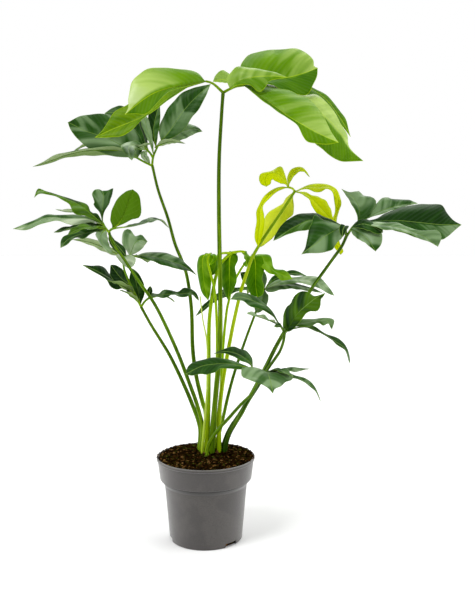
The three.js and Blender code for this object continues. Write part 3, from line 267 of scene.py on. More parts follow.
LEFT = dict(
    name="frond_left", look="dark", foot=(-9, 16), radii=(4, 2.2),
    petiole=[(-6, 192, -12), (-14.6, 231, -2), (-28, 270, 8), (-51, 331, 20), (-84, 402, 34),
        (-117, 451, 44), (-141, 488, 52), (-157, 511, 57), (-164, 532, 60)],
    arms=[
        [(-164, 530, 60), (-170, 538, 54), (-174, 546, 44)],
        [(-164, 530, 60), (-158, 535, 66), (-150, 537, 70)],
    ],
    leaflets=[
        dict(
            rib=[(-172, 542, 49), (-191, 558, 55), (-204, 569, 60), (-220, 579, 66), (-240, 587, 71),
                (-264, 595, 75), (-281, 599, 77), (-289, 588, 78)],
            left=[(-182, 547, 56), (-201, 556, 66), (-214, 558, 74), (-224, 564, 76), (-231, 577, 75),
                (-245, 586, 76), (-262, 592, 77), (-279, 594, 79)],
            right=[(-182, 560, 48), (-193, 563, 46), (-198, 574, 46), (-208, 580, 50), (-226, 585, 58),
                (-247, 592, 66), (-268, 598, 71), (-282, 603, 74)],
            tone=((-0.3, 0.2), (-0.7, -0.3)), fresh=1),
        dict(
            rib=[(-172, 542, 49), (-198, 551, 40), (-218, 552, 32), (-240, 552, 24), (-265, 554, 16),
                (-285, 547, 9), (-305, 539, 4), (-326, 535, 0)],
            left=[(-190, 546, 52), (-208, 544, 52), (-222, 542, 48), (-236, 544, 40), (-255, 549, 30),
                (-280, 542, 18), (-305, 533, 8)],
            right=[(-190, 554, 30), (-205, 557, 18), (-225, 559, 6), (-250, 558.5, 0), (-268, 559, -2),
                (-288, 551, -4), (-305, 544, -4)],
            tone=((1.9, 1.1), (-0.4, 0.7))),
        dict(
            rib=[(-174, 546, 44), (-174.5, 562, 40), (-173, 580, 36), (-172, 592, 31), (-174, 599, 24)],
            left=[(-179, 563, 44), (-189, 575, 46), (-187, 581, 46), (-191, 591, 42), (-188, 600, 34),
                (-180, 602, 28)],
            right=[(-171, 563, 40), (-163, 576, 32), (-158, 590, 22), (-155, 603, 14), (-164, 600, 18)],
            tone=(0.25, -0.2)),
        # This leaflet's fresh green is partly painted light shining through it from behind.
        dict(
            rib=[(-158, 535, 66), (-148, 542, 68), (-140, 555, 70), (-133, 570, 71), (-128, 586, 71),
                (-122, 601.5, 70)],
            left=[(-147, 540, 66), (-135, 545, 64), (-124, 551, 62), (-112, 554, 60), (-108, 566, 60),
                (-109, 581, 62), (-113, 594, 66)],
            right=[(-158, 542, 68), (-161, 552, 74), (-156, 572, 78), (-147, 587, 77), (-134, 598, 73)],
            tone=((0.3, -0.9), (-0.6, 0.2)), fresh=0.95),
        dict(
            rib=[(-150, 537, 70), (-125, 540, 20), (-104, 544.5, -30), (-86, 550.5, -66), (-75, 549, -84),
                (-62, 537, -102)],
            half=9, face=(0, 0.9, 0.5), wave=1, widest=0.7, tone=0.3),
        dict(
            rib=[(-169, 537, 55), (-192, 537, 78), (-214, 534, 92), (-233, 525, 100)],
            half=15, face=(-0.2, 0.9, 0.5), tone=-0.3, fresh=0.9),
        dict(
            rib=[(-171, 539, 53), (-205, 541, 34), (-232, 534, 30), (-257, 529, 28)],
            half=16, face=(0, 1, 0.4), wave=3, tone=-0.2),
        dict(
            rib=[(-168, 535, 57), (-205, 527, 74), (-230, 519, 84), (-246, 503, 92)],
            half=14, face=(-0.1, 0.8, 0.6), wave=3, tone=0.1),
        dict(
            rib=[(-168, 535, 57), (-177, 524, 46), (-172, 507, 38), (-158, 492, 34)],
            left=[(-166, 522, 50), (-163, 508, 44), (-158, 500, 38)],
            right=[(-181, 533, 44), (-186, 526, 36), (-180, 512, 32), (-168, 498, 32)],
            tone=0.9),
        dict(
            rib=[(-174, 546, 44), (-205, 562, -10), (-235, 564, -40), (-253, 568, -58)],
            half=13, face=(0, 1, -0.1), tone=0.5),
        dict(
            rib=[(-163, 531, 58), (-157, 516, 38), (-146, 503, 28), (-134, 488, 24)],
            left=[(-154, 517, 34), (-144, 510, 24), (-136, 502, 20)],
            right=[(-164, 515, 44), (-156, 500, 36), (-144, 490, 30)],
            tone=-0.5),
    ],
)
LOWER_LEFT = dict(
    name="frond_lower_left", look="dark", foot=(-13, 27), radii=(4.3, 2.4),
    petiole=[(-10, 192, -28), (-24, 235, -30), (-43, 280, -30), (-64, 323, -30), (-93, 371, -30),
        (-111, 404, -30)],
    arms=[
        [(-110, 402, -30), (-125, 434, -27), (-138, 466, -28), (-138, 487, -30), (-128, 489, -34),
            (-118, 489, -36)],
        [(-110, 402, -30), (-104, 411, -29), (-96, 418, -26)],
    ],
    leaflets=[
        dict(
            rib=[(-128, 489, -34), (-124, 500, -32), (-119, 511, -30), (-111, 516, -28), (-98, 514, -26)],
            left=[(-134, 498, -37), (-141, 511, -40), (-141, 525, -42), (-135, 534, -43), (-126, 533, -42),
                (-119, 523, -36), (-108, 525, -34)],
            right=[(-120, 493, -28), (-110, 499, -23), (-103, 507, -22)],
            tone=((1.1, 0.4), (0.8, 1.3))),
        dict(
            rib=[(-118, 489, -36), (-97, 489, -34), (-75, 485, -30), (-52, 478, -22), (-34, 470, -14),
                (-14, 456, -6)],
            left=[(-106, 494, -46), (-88, 496, -52), (-72, 495, -50), (-56, 491, -43), (-40, 483, -31),
                (-28, 472, -19)],
            right=[(-108, 485, -28), (-97, 482, -19), (-84, 478, -10), (-68, 472, -4), (-50, 468, 2),
                (-37, 464, 2), (-26, 463, -1)],
            tone=((0.5, 0.1), (0, -0.3))),
        dict(
            rib=[(-136, 488, -31), (-138, 489, -10), (-135, 480, 8), (-130, 467, 20)],
            left=[(-124, 490, -18), (-118, 483, 0), (-122, 473, 12)],
            right=[(-147, 493, -20), (-151, 488, 2), (-141, 475, 16)],
            tone=1.9),
        dict(
            rib=[(-121, 489, -36), (-108, 485, -56), (-98, 478, -78)],
            half=12, face=(0.2, 1, 0.1), tone=0.1),
        dict(
            rib=[(-138, 487, -30), (-160, 498, -40), (-180, 507, -46), (-202, 514, -50), (-226, 517, -54)],
            left=[(-160, 503, -22), (-182, 515, -22), (-196, 519, -28), (-212, 519, -40)],
            right=[(-158, 491, -52), (-176, 498, -66), (-192, 506, -68), (-208, 512, -63)],
            tone=0.3),
        dict(
            rib=[(-118, 418, -28), (-138, 437, -42), (-155, 446, -50), (-170, 455, -56), (-188, 465, -61),
                (-210, 474, -66)],
            left=[(-128, 424, -30), (-140, 433, -32), (-152, 432, -34), (-163, 438, -38), (-171, 451, -48),
                (-189, 461, -57)],
            right=[(-136, 445, -54), (-150, 451, -64), (-163, 459, -70), (-171, 469, -74), (-181, 473, -73),
                (-194, 473, -70)],
            tone=(-0.6, -1)),
        dict(
            rib=[(-121, 426, -27), (-140, 437, 0), (-155, 444, 16), (-169, 448, 26)],
            half=13, face=(-0.2, 1, 0.2)),
        dict(
            rib=[(-127, 438, -27), (-145, 453, -50), (-161, 474, -70)],
            half=13, face=(-0.4, 0.5, 0.9), tone=-0.8),
        dict(
            rib=[(-114, 410, -30), (-130, 424, -8), (-146, 431, 8)],
            half=10, face=(-0.1, 1, 0.3), fold=10, wave=1),
        dict(rib=[(-111, 405, -30), (-115, 430, -52), (-124, 468, -62)], half=13, face=(0.2, 0.1, 1)),
        dict(
            rib=[(-97, 417, -27), (-70, 423, -24), (-45, 424, -20), (-22, 425, -16), (-11, 413, -14)],
            half=13, face=(0.1, 0.8, 0.4), fold=10, wave=4),
        dict(
            rib=[(-99, 415, -28), (-85, 422, -52), (-65, 419, -70), (-52, 410, -80)],
            half=11, face=(0.1, 1, 0.2), fold=10),
        dict(
            rib=[(-97, 417, -27), (-95, 428, -34), (-94, 438, -40)],
            half=5, face=(0.2, 0.3, 1), fold=10, wave=1, tone=-0.8),
    ],
)
YOUNG_MIDDLE = dict(
    name="frond_young_middle", look="young", foot=(0, 9), radii=(4.8, 2.7),
    petiole=[(2.4, 178, -12), (4, 217, -16), (5.2, 286, -22), (6, 364, -28), (9.6, 407, -33), (16, 445, -37),
        (22, 467, -39), (31, 482, -40), (48, 496, -40)],
    arms=[
        [(46, 495, -40), (60, 497, -36), (68, 496, -32)],
        [(44, 494, -40), (30, 494, -38), (20, 490, -38)],
    ],
    leaflets=[
        dict(rib=[(20, 490, -38), (17, 472, -32), (10, 455, -28)], half=10, face=(-0.5, 0.3, 0.8), wave=1.5),
        dict(
            rib=[(46, 495, -40), (42, 485, -38), (41, 460, -40), (41, 440, -42), (39, 413, -42)],
            left=[(54, 491, -42), (56, 482, -45), (51, 470, -47), (54, 452, -50), (51, 437, -49),
                (44, 424, -46)],
            right=[(35, 489, -45), (29, 478, -50), (27, 458, -53), (29, 438, -53), (34, 423, -48)],
            tone=-0.4),
        dict(
            rib=[(62, 497, -35), (69, 487, -48), (70, 470, -58)],
            half=10, face=(0.4, 0.5, 0.7), fold=10, tone=-0.1),
        dict(
            rib=[(46, 495, -40), (48, 494, -80), (44, 487, -118), (38, 472, -150)],
            half=9, face=(0, 1, -0.3), tone=-0.4),
    ],
)
YOUNG_LEFT = dict(
    name="frond_young_left", look="young", foot=(12, 19), radii=(3.4, 2),
    petiole=[(16, 200, -18), (20, 330, -17), (18, 407, -16), (14, 440, -15), (7, 467, -14), (4, 482, -14),
        (9, 494, -16)],
    arms=[
    ],
    leaflets=[
        dict(
            rib=[(8, 493, -16), (-3, 488, -18), (-4, 465, -20), (-1, 440, -22), (5, 413, -24)],
            left=[(6, 483, -14), (9, 465, -16), (10, 445, -20), (9, 427, -22)],
            right=[(-8, 490, -24), (-14, 478, -31), (-13, 458, -34), (-10, 440, -33), (-5, 425, -30)],
            tone=(0.2, 0)),
        dict(
            rib=[(8, 493, -16), (14, 488, -3), (8, 474, 5)],
            half=7, face=(0.3, 0.8, 0.5), fold=10, wave=1, tone=-0.1),
        dict(
            rib=[(8, 493, -16), (6, 492, -44), (1, 484, -72), (-4, 468, -94)],
            half=8, face=(-0.2, 1, -0.1), wave=1.5, tone=-0.5),
    ],
)
YOUNG_RIGHT = dict(
    name="frond_young_right", look="young", foot=(23, 29), radii=(3.4, 2),
    petiole=[(24, 200, -24), (27, 265, -30), (30, 331, -38), (36, 391, -54), (40, 412, -60), (46, 438, -68),
        (58, 462, -77), (70, 480, -83), (76, 489, -86)],
    arms=[
    ],
    leaflets=[
        dict(
            rib=[(75, 488, -86), (84, 485, -79), (86, 460, -73), (86, 440, -71), (89, 419, -69)],
            left=[(96, 489, -83), (101, 470, -80), (97, 452, -79), (100, 437, -77), (98, 423, -73)],
            right=[(73, 478, -84), (70, 458, -84), (71, 438, -82), (78, 423, -75)],
            tone=-0.7),
        dict(
            rib=[(75, 488, -86), (92, 488, -86), (105, 476, -86), (118, 463, -86), (132, 457, -86),
                (149, 450, -88)],
            left=[(90, 492, -94), (105, 492, -100), (113, 487, -100), (114.5, 477, -96), (118, 468, -95),
                (126, 466, -96), (134, 466, -96), (143, 459, -92)],
            right=[(88, 482, -80), (97, 469, -76), (110, 459, -76), (121, 456, -78), (128, 448, -79),
                (138, 448, -83)],
            tone=0.2),
        dict(
            rib=[(75, 488, -86), (86, 489, -116), (96, 482, -146), (102, 466, -170)],
            half=9, face=(0.2, 1, -0.2), tone=-0.4),
    ],
)
YELLOW = dict(
    name="frond_yellow", look="yellow", foot=(23, 8), radii=(4.3, 2.2),
    petiole=[(23, 205, -9), (26, 245, -10), (32, 288, -12), (41, 338, -15), (50, 383, -18), (60, 426, -22),
        (69, 455, -25), (81, 488, -30), (100, 520, -37), (131, 566, -50), (153, 600, -60)],
    arms=[
        [(152, 598, -60), (148, 603, -60), (141, 605, -58)],
    ],
    leaflets=[
        dict(
            rib=[(141, 605, -58), (134, 617, -52), (124, 627, -46), (112, 629, -40), (102, 621, -36),
                (104, 606, -34)],
            left=[(135, 610, -50), (125, 612, -42), (114, 618, -36), (111, 611, -34)],
            right=[(137, 621, -60), (129, 640, -60), (113, 633, -52), (95, 628, -44), (91, 619, -39),
                (95, 610, -36)],
            tone=-0.2),
        dict(
            rib=[(141, 605, -58), (142, 617, -62), (149, 630, -66), (163, 635, -70), (177, 622, -72)],
            left=[(139, 622, -67), (144, 633, -72), (153, 639, -76), (165, 638, -76), (172, 631, -74)],
            right=[(145, 615, -57), (153, 626, -60), (161, 631, -65), (170, 630, -70)]),
        dict(
            rib=[(141, 605, -58), (122, 603, -50), (104, 586, -42), (93, 566, -34), (93, 545, -28),
                (90, 525, -22), (90, 504, -18)],
            left=[(125, 599, -46), (113, 590, -38), (103, 580, -31), (98, 570, -26), (100, 558, -21),
                (101, 545, -19), (98, 528, -18), (95, 515, -17)],
            right=[(128, 606, -56), (113, 601, -50), (102, 592, -46), (92, 578, -42), (87, 563, -36),
                (87, 548, -31), (84.5, 530, -26), (84.5, 517, -21)],
            tone=0),
        dict(
            rib=[(151, 597, -60), (140, 580, -68), (122, 553, -74), (107, 530, -78), (91, 503, -80)],
            left=[(149, 586, -60), (151, 572, -60), (149, 560, -61), (140, 551, -63), (130, 538, -67),
                (116, 521, -72), (101, 508, -77)],
            right=[(145, 594, -70), (136, 586, -78), (131, 578, -84), (119, 570, -88), (108, 564, -90),
                (101, 552, -89), (96, 530, -86)],
            tone=0.8),
        dict(
            rib=[(152, 598, -60), (170, 593.5, -50), (188, 579, -42), (203, 563, -40), (219, 545, -40)],
            left=[(170, 597, -56), (181, 592, -54), (193, 589, -53), (204, 583, -50), (212, 571, -47),
                (216, 558, -44)],
            right=[(168, 591, -45), (177, 583, -38), (182, 571, -34), (190, 561, -34), (199, 554, -36),
                (210, 549, -39)],
            tone=-0.1),
        dict(
            rib=[(152, 598, -60), (172, 605, -72), (192, 605, -82), (212, 605, -88), (224, 590, -92),
                (225, 565, -94), (219, 545, -94), (222, 515, -92), (231, 491, -90)],
            left=[(171, 608, -78), (183, 611, -86), (196, 611, -92), (210, 609, -96), (223, 602, -97),
                (229, 588, -95), (231, 576, -91), (227, 564, -88), (223, 545, -87), (229, 512, -86),
                (235, 498, -88)],
            right=[(172, 602, -66), (186, 597, -71), (196, 597, -73), (206, 602, -78), (216, 596, -85),
                (219, 580, -92), (220, 563, -97), (215, 545, -100), (216, 512, -99), (224, 498, -94)]),
    ],
)
BACK = dict(
    name="frond_back", look="dark", foot=(15, 32), radii=(3.6, 2),
    petiole=[(29, 205, -46), (38, 245, -56), (49, 286, -66), (65, 335, -80), (84, 387, -96), (97, 422, -108),
        (101, 434, -110)],
    arms=[
    ],
    leaflets=[
        dict(
            rib=[(100, 432, -110), (130, 446, -112), (160, 449, -116), (190, 444, -118), (208, 433, -118),
                (221, 421, -118)],
            left=[(122, 448, -122), (160, 454, -132), (184, 455, -134), (197, 452, -132), (207, 441, -126),
                (215, 431, -121)],
            right=[(122, 438, -102), (152, 443, -104), (172, 441, -106), (194, 434, -109), (210, 425, -113)],
            tone=0.9),
        dict(
            rib=[(100, 432, -110), (125, 440, -122), (150, 440, -130), (175, 434, -136), (201, 426, -140)],
            left=[(114, 441, -126), (128, 447, -138), (144, 446, -144), (163, 440, -147), (185, 434, -145)],
            right=[(110, 427, -102), (128, 431, -108), (147, 433, -115), (178, 429, -127)],
            tone=(-0.5, 0.6)),
        dict(
            rib=[(100, 432, -110), (97, 415, -92), (88, 392, -86)],
            half=12, face=(0.2, 0.6, 0.8), taper=1.4),
        dict(
            rib=[(100, 432, -110), (70, 433, -112), (42, 428, -112), (12, 412, -110), (-17, 386, -108)],
            half=9, face=(-0.1, 0.8, 0.7)),
        dict(rib=[(100, 432, -110), (80, 446, -126), (60, 461, -136)], half=13, face=(-0.3, 0.5, 0.9)),
        dict(
            rib=[(100, 432, -110), (99, 450, -104), (97, 466, -100)],
            half=7, face=(0, 0.2, 1), fold=10, wave=1),
        dict(
            rib=[(100, 432, -110), (92, 444, -150), (82, 440, -190), (72, 424, -216)],
            half=14, face=(-0.1, 1, -0.2)),
        dict(
            rib=[(100, 432, -110), (118, 449, -126), (140, 458, -136), (160, 458, -144), (181, 450, -150)],
            half=9, face=(0, 0.9, 0.5)),
    ],
)
RIGHT = dict(
    name="frond_right", look="deep", foot=(28, 19), radii=(4.6, 2.4),
    petiole=[(36, 176, -16), (46, 196, -12), (60, 217, -8), (80, 252, 0), (102, 295, 10), (130, 350, 20),
        (178, 428, 34), (200, 460, 40), (220, 488, 45), (232, 505, 48), (241, 525, 50)],
    arms=[
        [(240, 522, 50), (238, 535, 46), (232, 541, 42)],
        [(240, 522, 50), (252, 540, 44), (264, 548, 38)],
    ],
    leaflets=[
        dict(
            rib=[(232, 541, 42), (205, 549, 28), (178, 549, 16), (150, 537, 8), (133, 526, 3),
                (116, 515, 0)],
            left=[(215, 541, 42), (190, 536, 38), (174, 533, 30), (159, 531, 21), (141, 526, 12),
                (126, 519, 5)],
            right=[(222, 547, 34), (202, 556, 16), (189, 561, 5), (172, 562, -3), (156, 559, -6),
                (140, 551, -6), (127, 538, -5), (119, 525, -2)],
            tone=((-0.4, 0.6), (-1.4, -1)), fresh=0.3),
        dict(
            rib=[(233, 540, 43), (222, 533, 56), (206, 524, 68), (190, 511, 76), (177, 502, 80),
                (164, 492, 82)],
            left=[(233, 531, 54), (233, 521, 62), (224, 511, 70), (216, 500, 76), (206, 496, 79),
                (192, 494, 81), (177, 494, 82)],
            right=[(224, 543, 46), (212, 547, 44), (200, 551, 44), (187, 559, 44), (181, 547, 54),
                (176, 533, 62), (173, 517, 70), (170, 503, 77)],
            tone=((0.1, 0.7), (0.9, -1.2))),
        dict(
            rib=[(240, 528, 49), (238, 540, 58), (234, 533, 68), (233, 521, 72)],
            half=7, face=(0, 0.8, 0.6), fold=10, wave=1, tone=-1.3),
        dict(
            rib=[(259, 545, 40), (262, 562, 32), (258, 577, 24), (248, 590, 17), (231, 602, 10)],
            left=[(257, 560, 35), (250, 573, 27), (241, 588, 19)],
            right=[(273, 553, 31), (283, 565, 22), (290, 579, 11), (283, 589, 6), (268, 591, 6),
                (260, 599, 3), (246, 596, 8)],
            tone=0.5),
        dict(
            rib=[(264, 548, 38), (285, 559, 26), (310, 569, 10), (335, 575, -4), (360, 578, -14)],
            left=[(276, 558, 26), (283, 567, 18), (290, 577, 8), (299, 587, -4), (309, 588.5, -10),
                (318, 585, -16), (343, 584.5, -21), (352, 581.5, -19)],
            right=[(283, 555, 32), (305, 562, 24), (328, 570, 10), (347, 575, -4)],
            tone=0.25),
        dict(
            rib=[(263, 547, 39), (290, 548, 46), (325, 549, 52), (360, 546, 58), (400, 542, 60),
                (435, 542, 58)],
            left=[(289, 552, 38), (305, 561, 30), (320, 568, 26), (338, 573, 24), (360, 576, 24),
                (378, 577.5, 26), (392, 577, 30), (402, 574, 36), (411, 561, 45), (421, 550, 52)],
            right=[(290, 542, 52), (330, 530, 64), (365, 519, 74), (400, 516, 76), (411, 521, 73),
                (422, 531, 67)],
            tone=((-1.4, -0.9), (-0.8, 0.5))),
        dict(
            rib=[(260, 546, 40), (290, 542, 66), (318, 539, 84), (345, 532, 96), (372, 522, 104),
                (396, 505, 110)],
            left=[(287, 547, 54), (305, 546, 66), (326, 545.5, 78), (341, 540, 86), (359, 533, 93),
                (378, 532, 98), (393, 533, 101), (401, 526, 104), (401, 517, 107)],
            right=[(287, 539, 72), (302, 534, 86), (317, 533, 97), (333, 531, 103), (350, 526, 108),
                (363, 519, 112), (381, 513, 112)],
            tone=0.8),
        dict(
            rib=[(247, 535, 47), (262, 528, 60), (275, 518, 70), (283, 508, 78), (290, 497, 82)],
            left=[(262, 542, 52), (280, 539, 55), (296, 533, 61), (301, 522, 70), (299.5, 509, 78)],
            right=[(250, 527, 55), (258, 519, 65), (271, 512, 75), (282, 503, 81)],
            tone=0.5),
        dict(
            rib=[(249, 537, 46), (265, 543, 58), (282, 540, 66), (302, 529, 70)],
            left=[(256, 547, 46), (267, 552, 49), (281, 549, 51), (293, 542, 56), (301, 536, 64)],
            right=[(262, 536, 62), (280, 531, 72), (292, 526, 75)],
            tone=-0.7),
    ],
)
MIDDLE_RIGHT = dict(
    name="frond_middle_right", look="deep", foot=(32, 8), radii=(4, 2.2),
    petiole=[(39, 176, -2), (49, 196, 6), (62, 217, 14), (73, 238, 22), (92, 268, 34), (105, 292, 46),
        (119, 312, 58), (128, 326, 68), (134, 343, 80), (136, 359, 90)],
    arms=[
        [(136, 357, 90), (141, 363, 90), (147, 370, 88)],
        [(136, 357, 90), (131, 366, 86), (126, 374, 82)],
    ],
    leaflets=[
        dict(
            rib=[(137, 359, 90), (149, 377, 97), (162, 394.5, 102), (177, 408, 107), (190, 418, 111),
                (205, 426, 114)],
            left=[(133, 367, 88), (133, 380, 85), (134, 391, 82), (139, 402, 82), (146, 408, 86),
                (150, 418, 84), (156, 425, 84), (165, 429, 88), (176, 428, 96), (187, 421, 105)],
            right=[(147, 361, 92), (161, 374, 97), (170, 388, 103), (179, 394, 106), (191, 395, 108),
                (197, 404, 109), (198, 415, 110), (202, 420, 112)],
            tone=-0.6, fresh=1),
        dict(
            rib=[(146, 369, 88), (168, 375, 80), (190, 378, 74), (208, 378, 70), (217, 363, 66)],
            left=[(159, 379, 76), (172, 382, 66), (187, 381, 60), (199, 383, 56), (213, 383, 54),
                (221, 378, 58)],
            right=[(160, 368, 90), (178, 368, 87), (193, 374, 82), (202, 370, 79), (211, 373, 72)],
            fresh=0.4),
        dict(
            rib=[(141, 363, 90), (172, 368, 82), (198, 358, 76), (222, 343, 72), (240, 329, 70),
                (248, 305, 66)],
            half=(9, 7), face=(0.3, 0.9, 0.4), widest=0.72, tone=-0.2),
        dict(
            rib=[(128, 371, 83), (110, 379, 96), (92, 385, 104), (71, 391, 108)],
            half=11, face=(0, 1, 0.2), wave=3, widest=0.7, tone=0.8),
        dict(
            rib=[(126, 374, 82), (113, 392, 70), (98, 405, 62), (80, 413, 56), (62, 419, 50), (43, 415, 46)],
            left=[(115, 386, 77), (103, 394, 76), (90, 399, 72), (75, 404, 68), (64, 412, 59),
                (52, 414, 51)],
            right=[(118, 389, 64), (108, 402, 53), (94, 414, 44), (79, 423, 38), (65, 427, 36),
                (52, 426, 38)],
            tone=-0.1),
        dict(
            rib=[(136, 360, 90), (129, 369, 100), (118, 368, 106)],
            half=7, face=(-0.2, 0.8, 0.6), fold=10, wave=1, tone=-0.4),
    ],
)
FRONT = dict(
    name="frond_front", look="dark", foot=(2, -7), radii=(3.6, 2.2),
    petiole=[(4.7, 160, 10), (12.5, 176, 20), (26, 194, 32), (41.6, 211, 45), (61, 233, 62), (80, 252, 80),
        (90, 272, 96), (104, 292, 110)],
    arms=[
        [(97, 283, 103), (88, 292, 104), (79, 297, 100)],
    ],
    leaflets=[
        dict(
            rib=[(80, 296, 100), (60, 300, 94), (38, 304, 88), (14, 303, 80), (-8, 299, 73), (-34, 286, 66)],
            left=[(62, 294, 100), (40, 295, 102), (25, 296, 100), (17, 289, 98), (4, 285, 92), (-8, 286, 83),
                (-24, 283, 72)],
            right=[(67, 302, 92), (51, 308, 82), (33, 313, 71), (17, 315, 62), (-2, 312, 56),
                (-16, 308.5, 54), (-26, 304, 56), (-32, 296, 61)],
            tone=-0.1),
        dict(
            rib=[(82, 295, 101), (75, 307, 84), (62, 317, 72), (48, 323, 62), (32, 325, 52), (14, 321, 42)],
            left=[(75, 303, 94), (61, 309, 83), (48, 316, 72), (36, 321, 61), (24, 321.5, 51)],
            right=[(81, 308, 80), (79, 317, 66), (70, 326, 55), (60, 330, 49), (50, 334, 45), (39, 332, 43),
                (26, 327, 41)],
            tone=-0.4),
        dict(
            rib=[(103, 290, 109), (107, 287, 128), (111, 276, 148), (116, 252, 164)],
            left=[(115, 292, 110), (136, 287, 114), (150, 286, 119), (150, 277, 131), (138, 272, 142),
                (131, 265, 150), (120, 260, 158)],
            right=[(88, 295, 110), (66, 298, 114), (62, 290, 124), (64, 280, 137), (83, 273, 147),
                (96, 268, 153), (108, 261, 159)],
            tone=0.6),
        dict(rib=[(103, 290, 109), (128, 292, 126), (149, 282, 136)], half=11, face=(0.2, 1, 0.2), wave=1.5),
        dict(
            rib=[(103, 290, 109), (150, 281, 94), (172, 272, 86), (189, 258, 80), (199, 238, 76)],
            half=9, face=(0.4, 0.9, 0.3), tone=0.2),
        dict(
            rib=[(103, 290, 109), (130, 290, 72), (155, 293, 46), (180, 295, 26)],
            half=8, face=(0.1, 1, 0.3), tone=0.6),
    ],
)
FRONDS = (
    CROWN, UPPER_LEFT, LEFT, LOWER_LEFT, YOUNG_MIDDLE, YOUNG_LEFT, YOUNG_RIGHT, YELLOW, BACK, RIGHT,
    MIDDLE_RIGHT, FRONT,
)
SPEAR = dict(
    foot=(-7, 5), radii=(2.4, 1),
    petiole=[(-3, 190, -4), (2, 250, -3), (4, 300, -2), (2, 345, -1), (-4.5, 381, 0), (-9, 421, 0)],
)


# Shapes


def seen(points):
    """The places of points given as (across, up, toward): each lies on the line from the eye through
    (across, up) on the upright plane of the pot's axis, moved toward the eye by its third value."""
    across, up, toward = np.array(points, float).T
    on_plane = np.stack((across, np.zeros_like(across), up), axis=-1)
    return EYE + (on_plane - EYE) * (1 + toward / EYE[1])[:, None]


def unit(vectors):
    """The vectors, each divided by its length."""
    return vectors / np.linalg.norm(vectors, axis=-1, keepdims=True)


def round_axis(radius, turn):
    """Points beside the upright axis: (radius · cos t, radius · sin t) at each turn t."""
    return np.stack((radius * np.cos(turn), radius * np.sin(turn)), axis=-1)


def curve(points, shares, fine=600):
    """Places and directions at shares of the length of a smooth curve through the points.

    Between points b and c, with a before and d behind them, the place at s from 0 to 1 is
    b + s(c - a)/2 + s²(a - 5b/2 + 2c - d/2) + s³(3b - 3c + d - a)/2, and the direction is its slope.
    """
    line = np.vstack((2 * points[0] - points[1], points, 2 * points[-1] - points[-2]))

    def at(run):
        start = np.clip(run.astype(int), 0, len(points) - 2)
        s = (run - start)[:, None]
        a, b, c, d = (line[start + k] for k in range(4))
        one, two, three = (c - a) / 2, a - 2.5 * b + 2 * c - d / 2, (3 * b - 3 * c + d - a) / 2
        return b + s * (one + s * (two + s * three)), one + s * (2 * two + 3 * s * three)

    run = np.linspace(0, len(points) - 1, fine)
    steps = np.linalg.norm(np.diff(at(run)[0], axis=0), axis=1)
    length = np.concatenate(([0], np.cumsum(steps)))
    places, slopes = at(np.interp(shares * length[-1], length, run))
    return places, unit(slopes), length[-1]


def carried(points, shares, face):
    """A curve's places, and beside each the directions to the side (along × face) and up (side × along)."""
    places, along, length = curve(points, shares)
    side = unit(np.cross(along, face))
    return places, side, np.cross(side, along), length


def skin(rings, lay=None, kind=None, finish=0):
    """A closed surface through rings of points: a quad between each pair of neighbours in two rings, and a
    fan round the middle of the first and the last ring. If its volume is negative, it is turned round."""
    lay, kind = (np.zeros_like(rings) if values is None else values for values in (lay, kind))
    rows, columns = rings.shape[:2]
    number = np.arange(rows * columns).reshape(rows, columns)
    after = np.roll(number, -1, axis=1)
    quads = np.stack((number[:-1], number[1:], after[1:], after[:-1]), axis=-1).reshape(-1, 4)
    first, last = np.full(columns, rows * columns), np.full(columns, rows * columns + 1)
    fans = np.vstack((
        np.stack((first, number[0], after[0]), axis=-1),
        np.stack((last, after[-1], number[-1]), axis=-1),
    ))

    def closed(values):
        return np.vstack((values.reshape(-1, 3), values[0].mean(axis=0), values[-1].mean(axis=0)))

    points = closed(rings)
    a, b, c, d = (points[quads[:, k]] - points[0] for k in range(4))
    if np.sum(a * np.cross(b, c)) + np.sum(a * np.cross(c, d)) < 0:
        quads, fans = quads[:, ::-1], fans[:, ::-1]
    return dict(points=points, quads=quads, fans=fans, lay=closed(lay), kind=closed(kind), finish=finish)


def stalk(points, radii, face=TOWARD, bead=0.0, channel=0.0, tone=0.0):
    """A round stalk along a smooth curve, its radius going evenly from the first to the second of radii.

    The last bit is a round end: radius times the root of 1 - q², with q the share of the way through it. A
    bead swells the top by a bell curve of the distance from it, and a channel runs along one side, the
    radius less channel times a bell curve of the angle from it.
    """
    length = curve(points, np.zeros(1))[2]
    rows = int(np.clip(length / (2 * ROW_STEP), *STALK_ROWS))
    share = np.concatenate((np.linspace(0, 1, rows), 1 - END_ROWS * radii[1] / length))
    share = np.unique(np.clip(share, 0, 1))
    places, side, up, length = carried(points, share, face)
    turn = np.linspace(0, 2 * np.pi, STALK_COLUMNS, endpoint=False)
    radius = radii[0] + (radii[1] - radii[0]) * share
    left = (1 - share) * length
    radius = radius * (1 + bead * np.exp(-((left - 1.5 * radii[1]) / (2 * radii[1])) ** 2))
    radius = radius * np.sqrt(np.clip(1 - (1 - np.minimum(left / radii[1], 1)) ** 2, 0.02, 1))
    groove = 1 - channel * np.exp(-(1 - np.cos(turn - CHANNEL_TURN)) / CHANNEL_SPREAD)
    reach = radius[:, None] * groove
    rings = places[:, None] + side[:, None] * (reach * np.cos(turn))[..., None]
    rings = rings + up[:, None] * (reach * np.sin(turn))[..., None]
    lay = np.stack(np.broadcast_arrays(np.cos(turn), np.sin(turn), (share * length / 100)[:, None]), axis=-1)
    kind = np.stack(np.broadcast_arrays(share[:, None] + 0 * turn, tone, 0.0), axis=-1)
    return skin(rings, lay, kind, finish=1)


def pair(value):
    """The left and the right value, of a pair or of one value for both."""
    return value if isinstance(value, tuple) else (value, value)


def least_width(share):
    """The least half width of a leaflet at each share of its length: its stem's, and its tip's."""
    return np.where(share < 0.5, STEM_WIDTH, TIP_WIDTH)


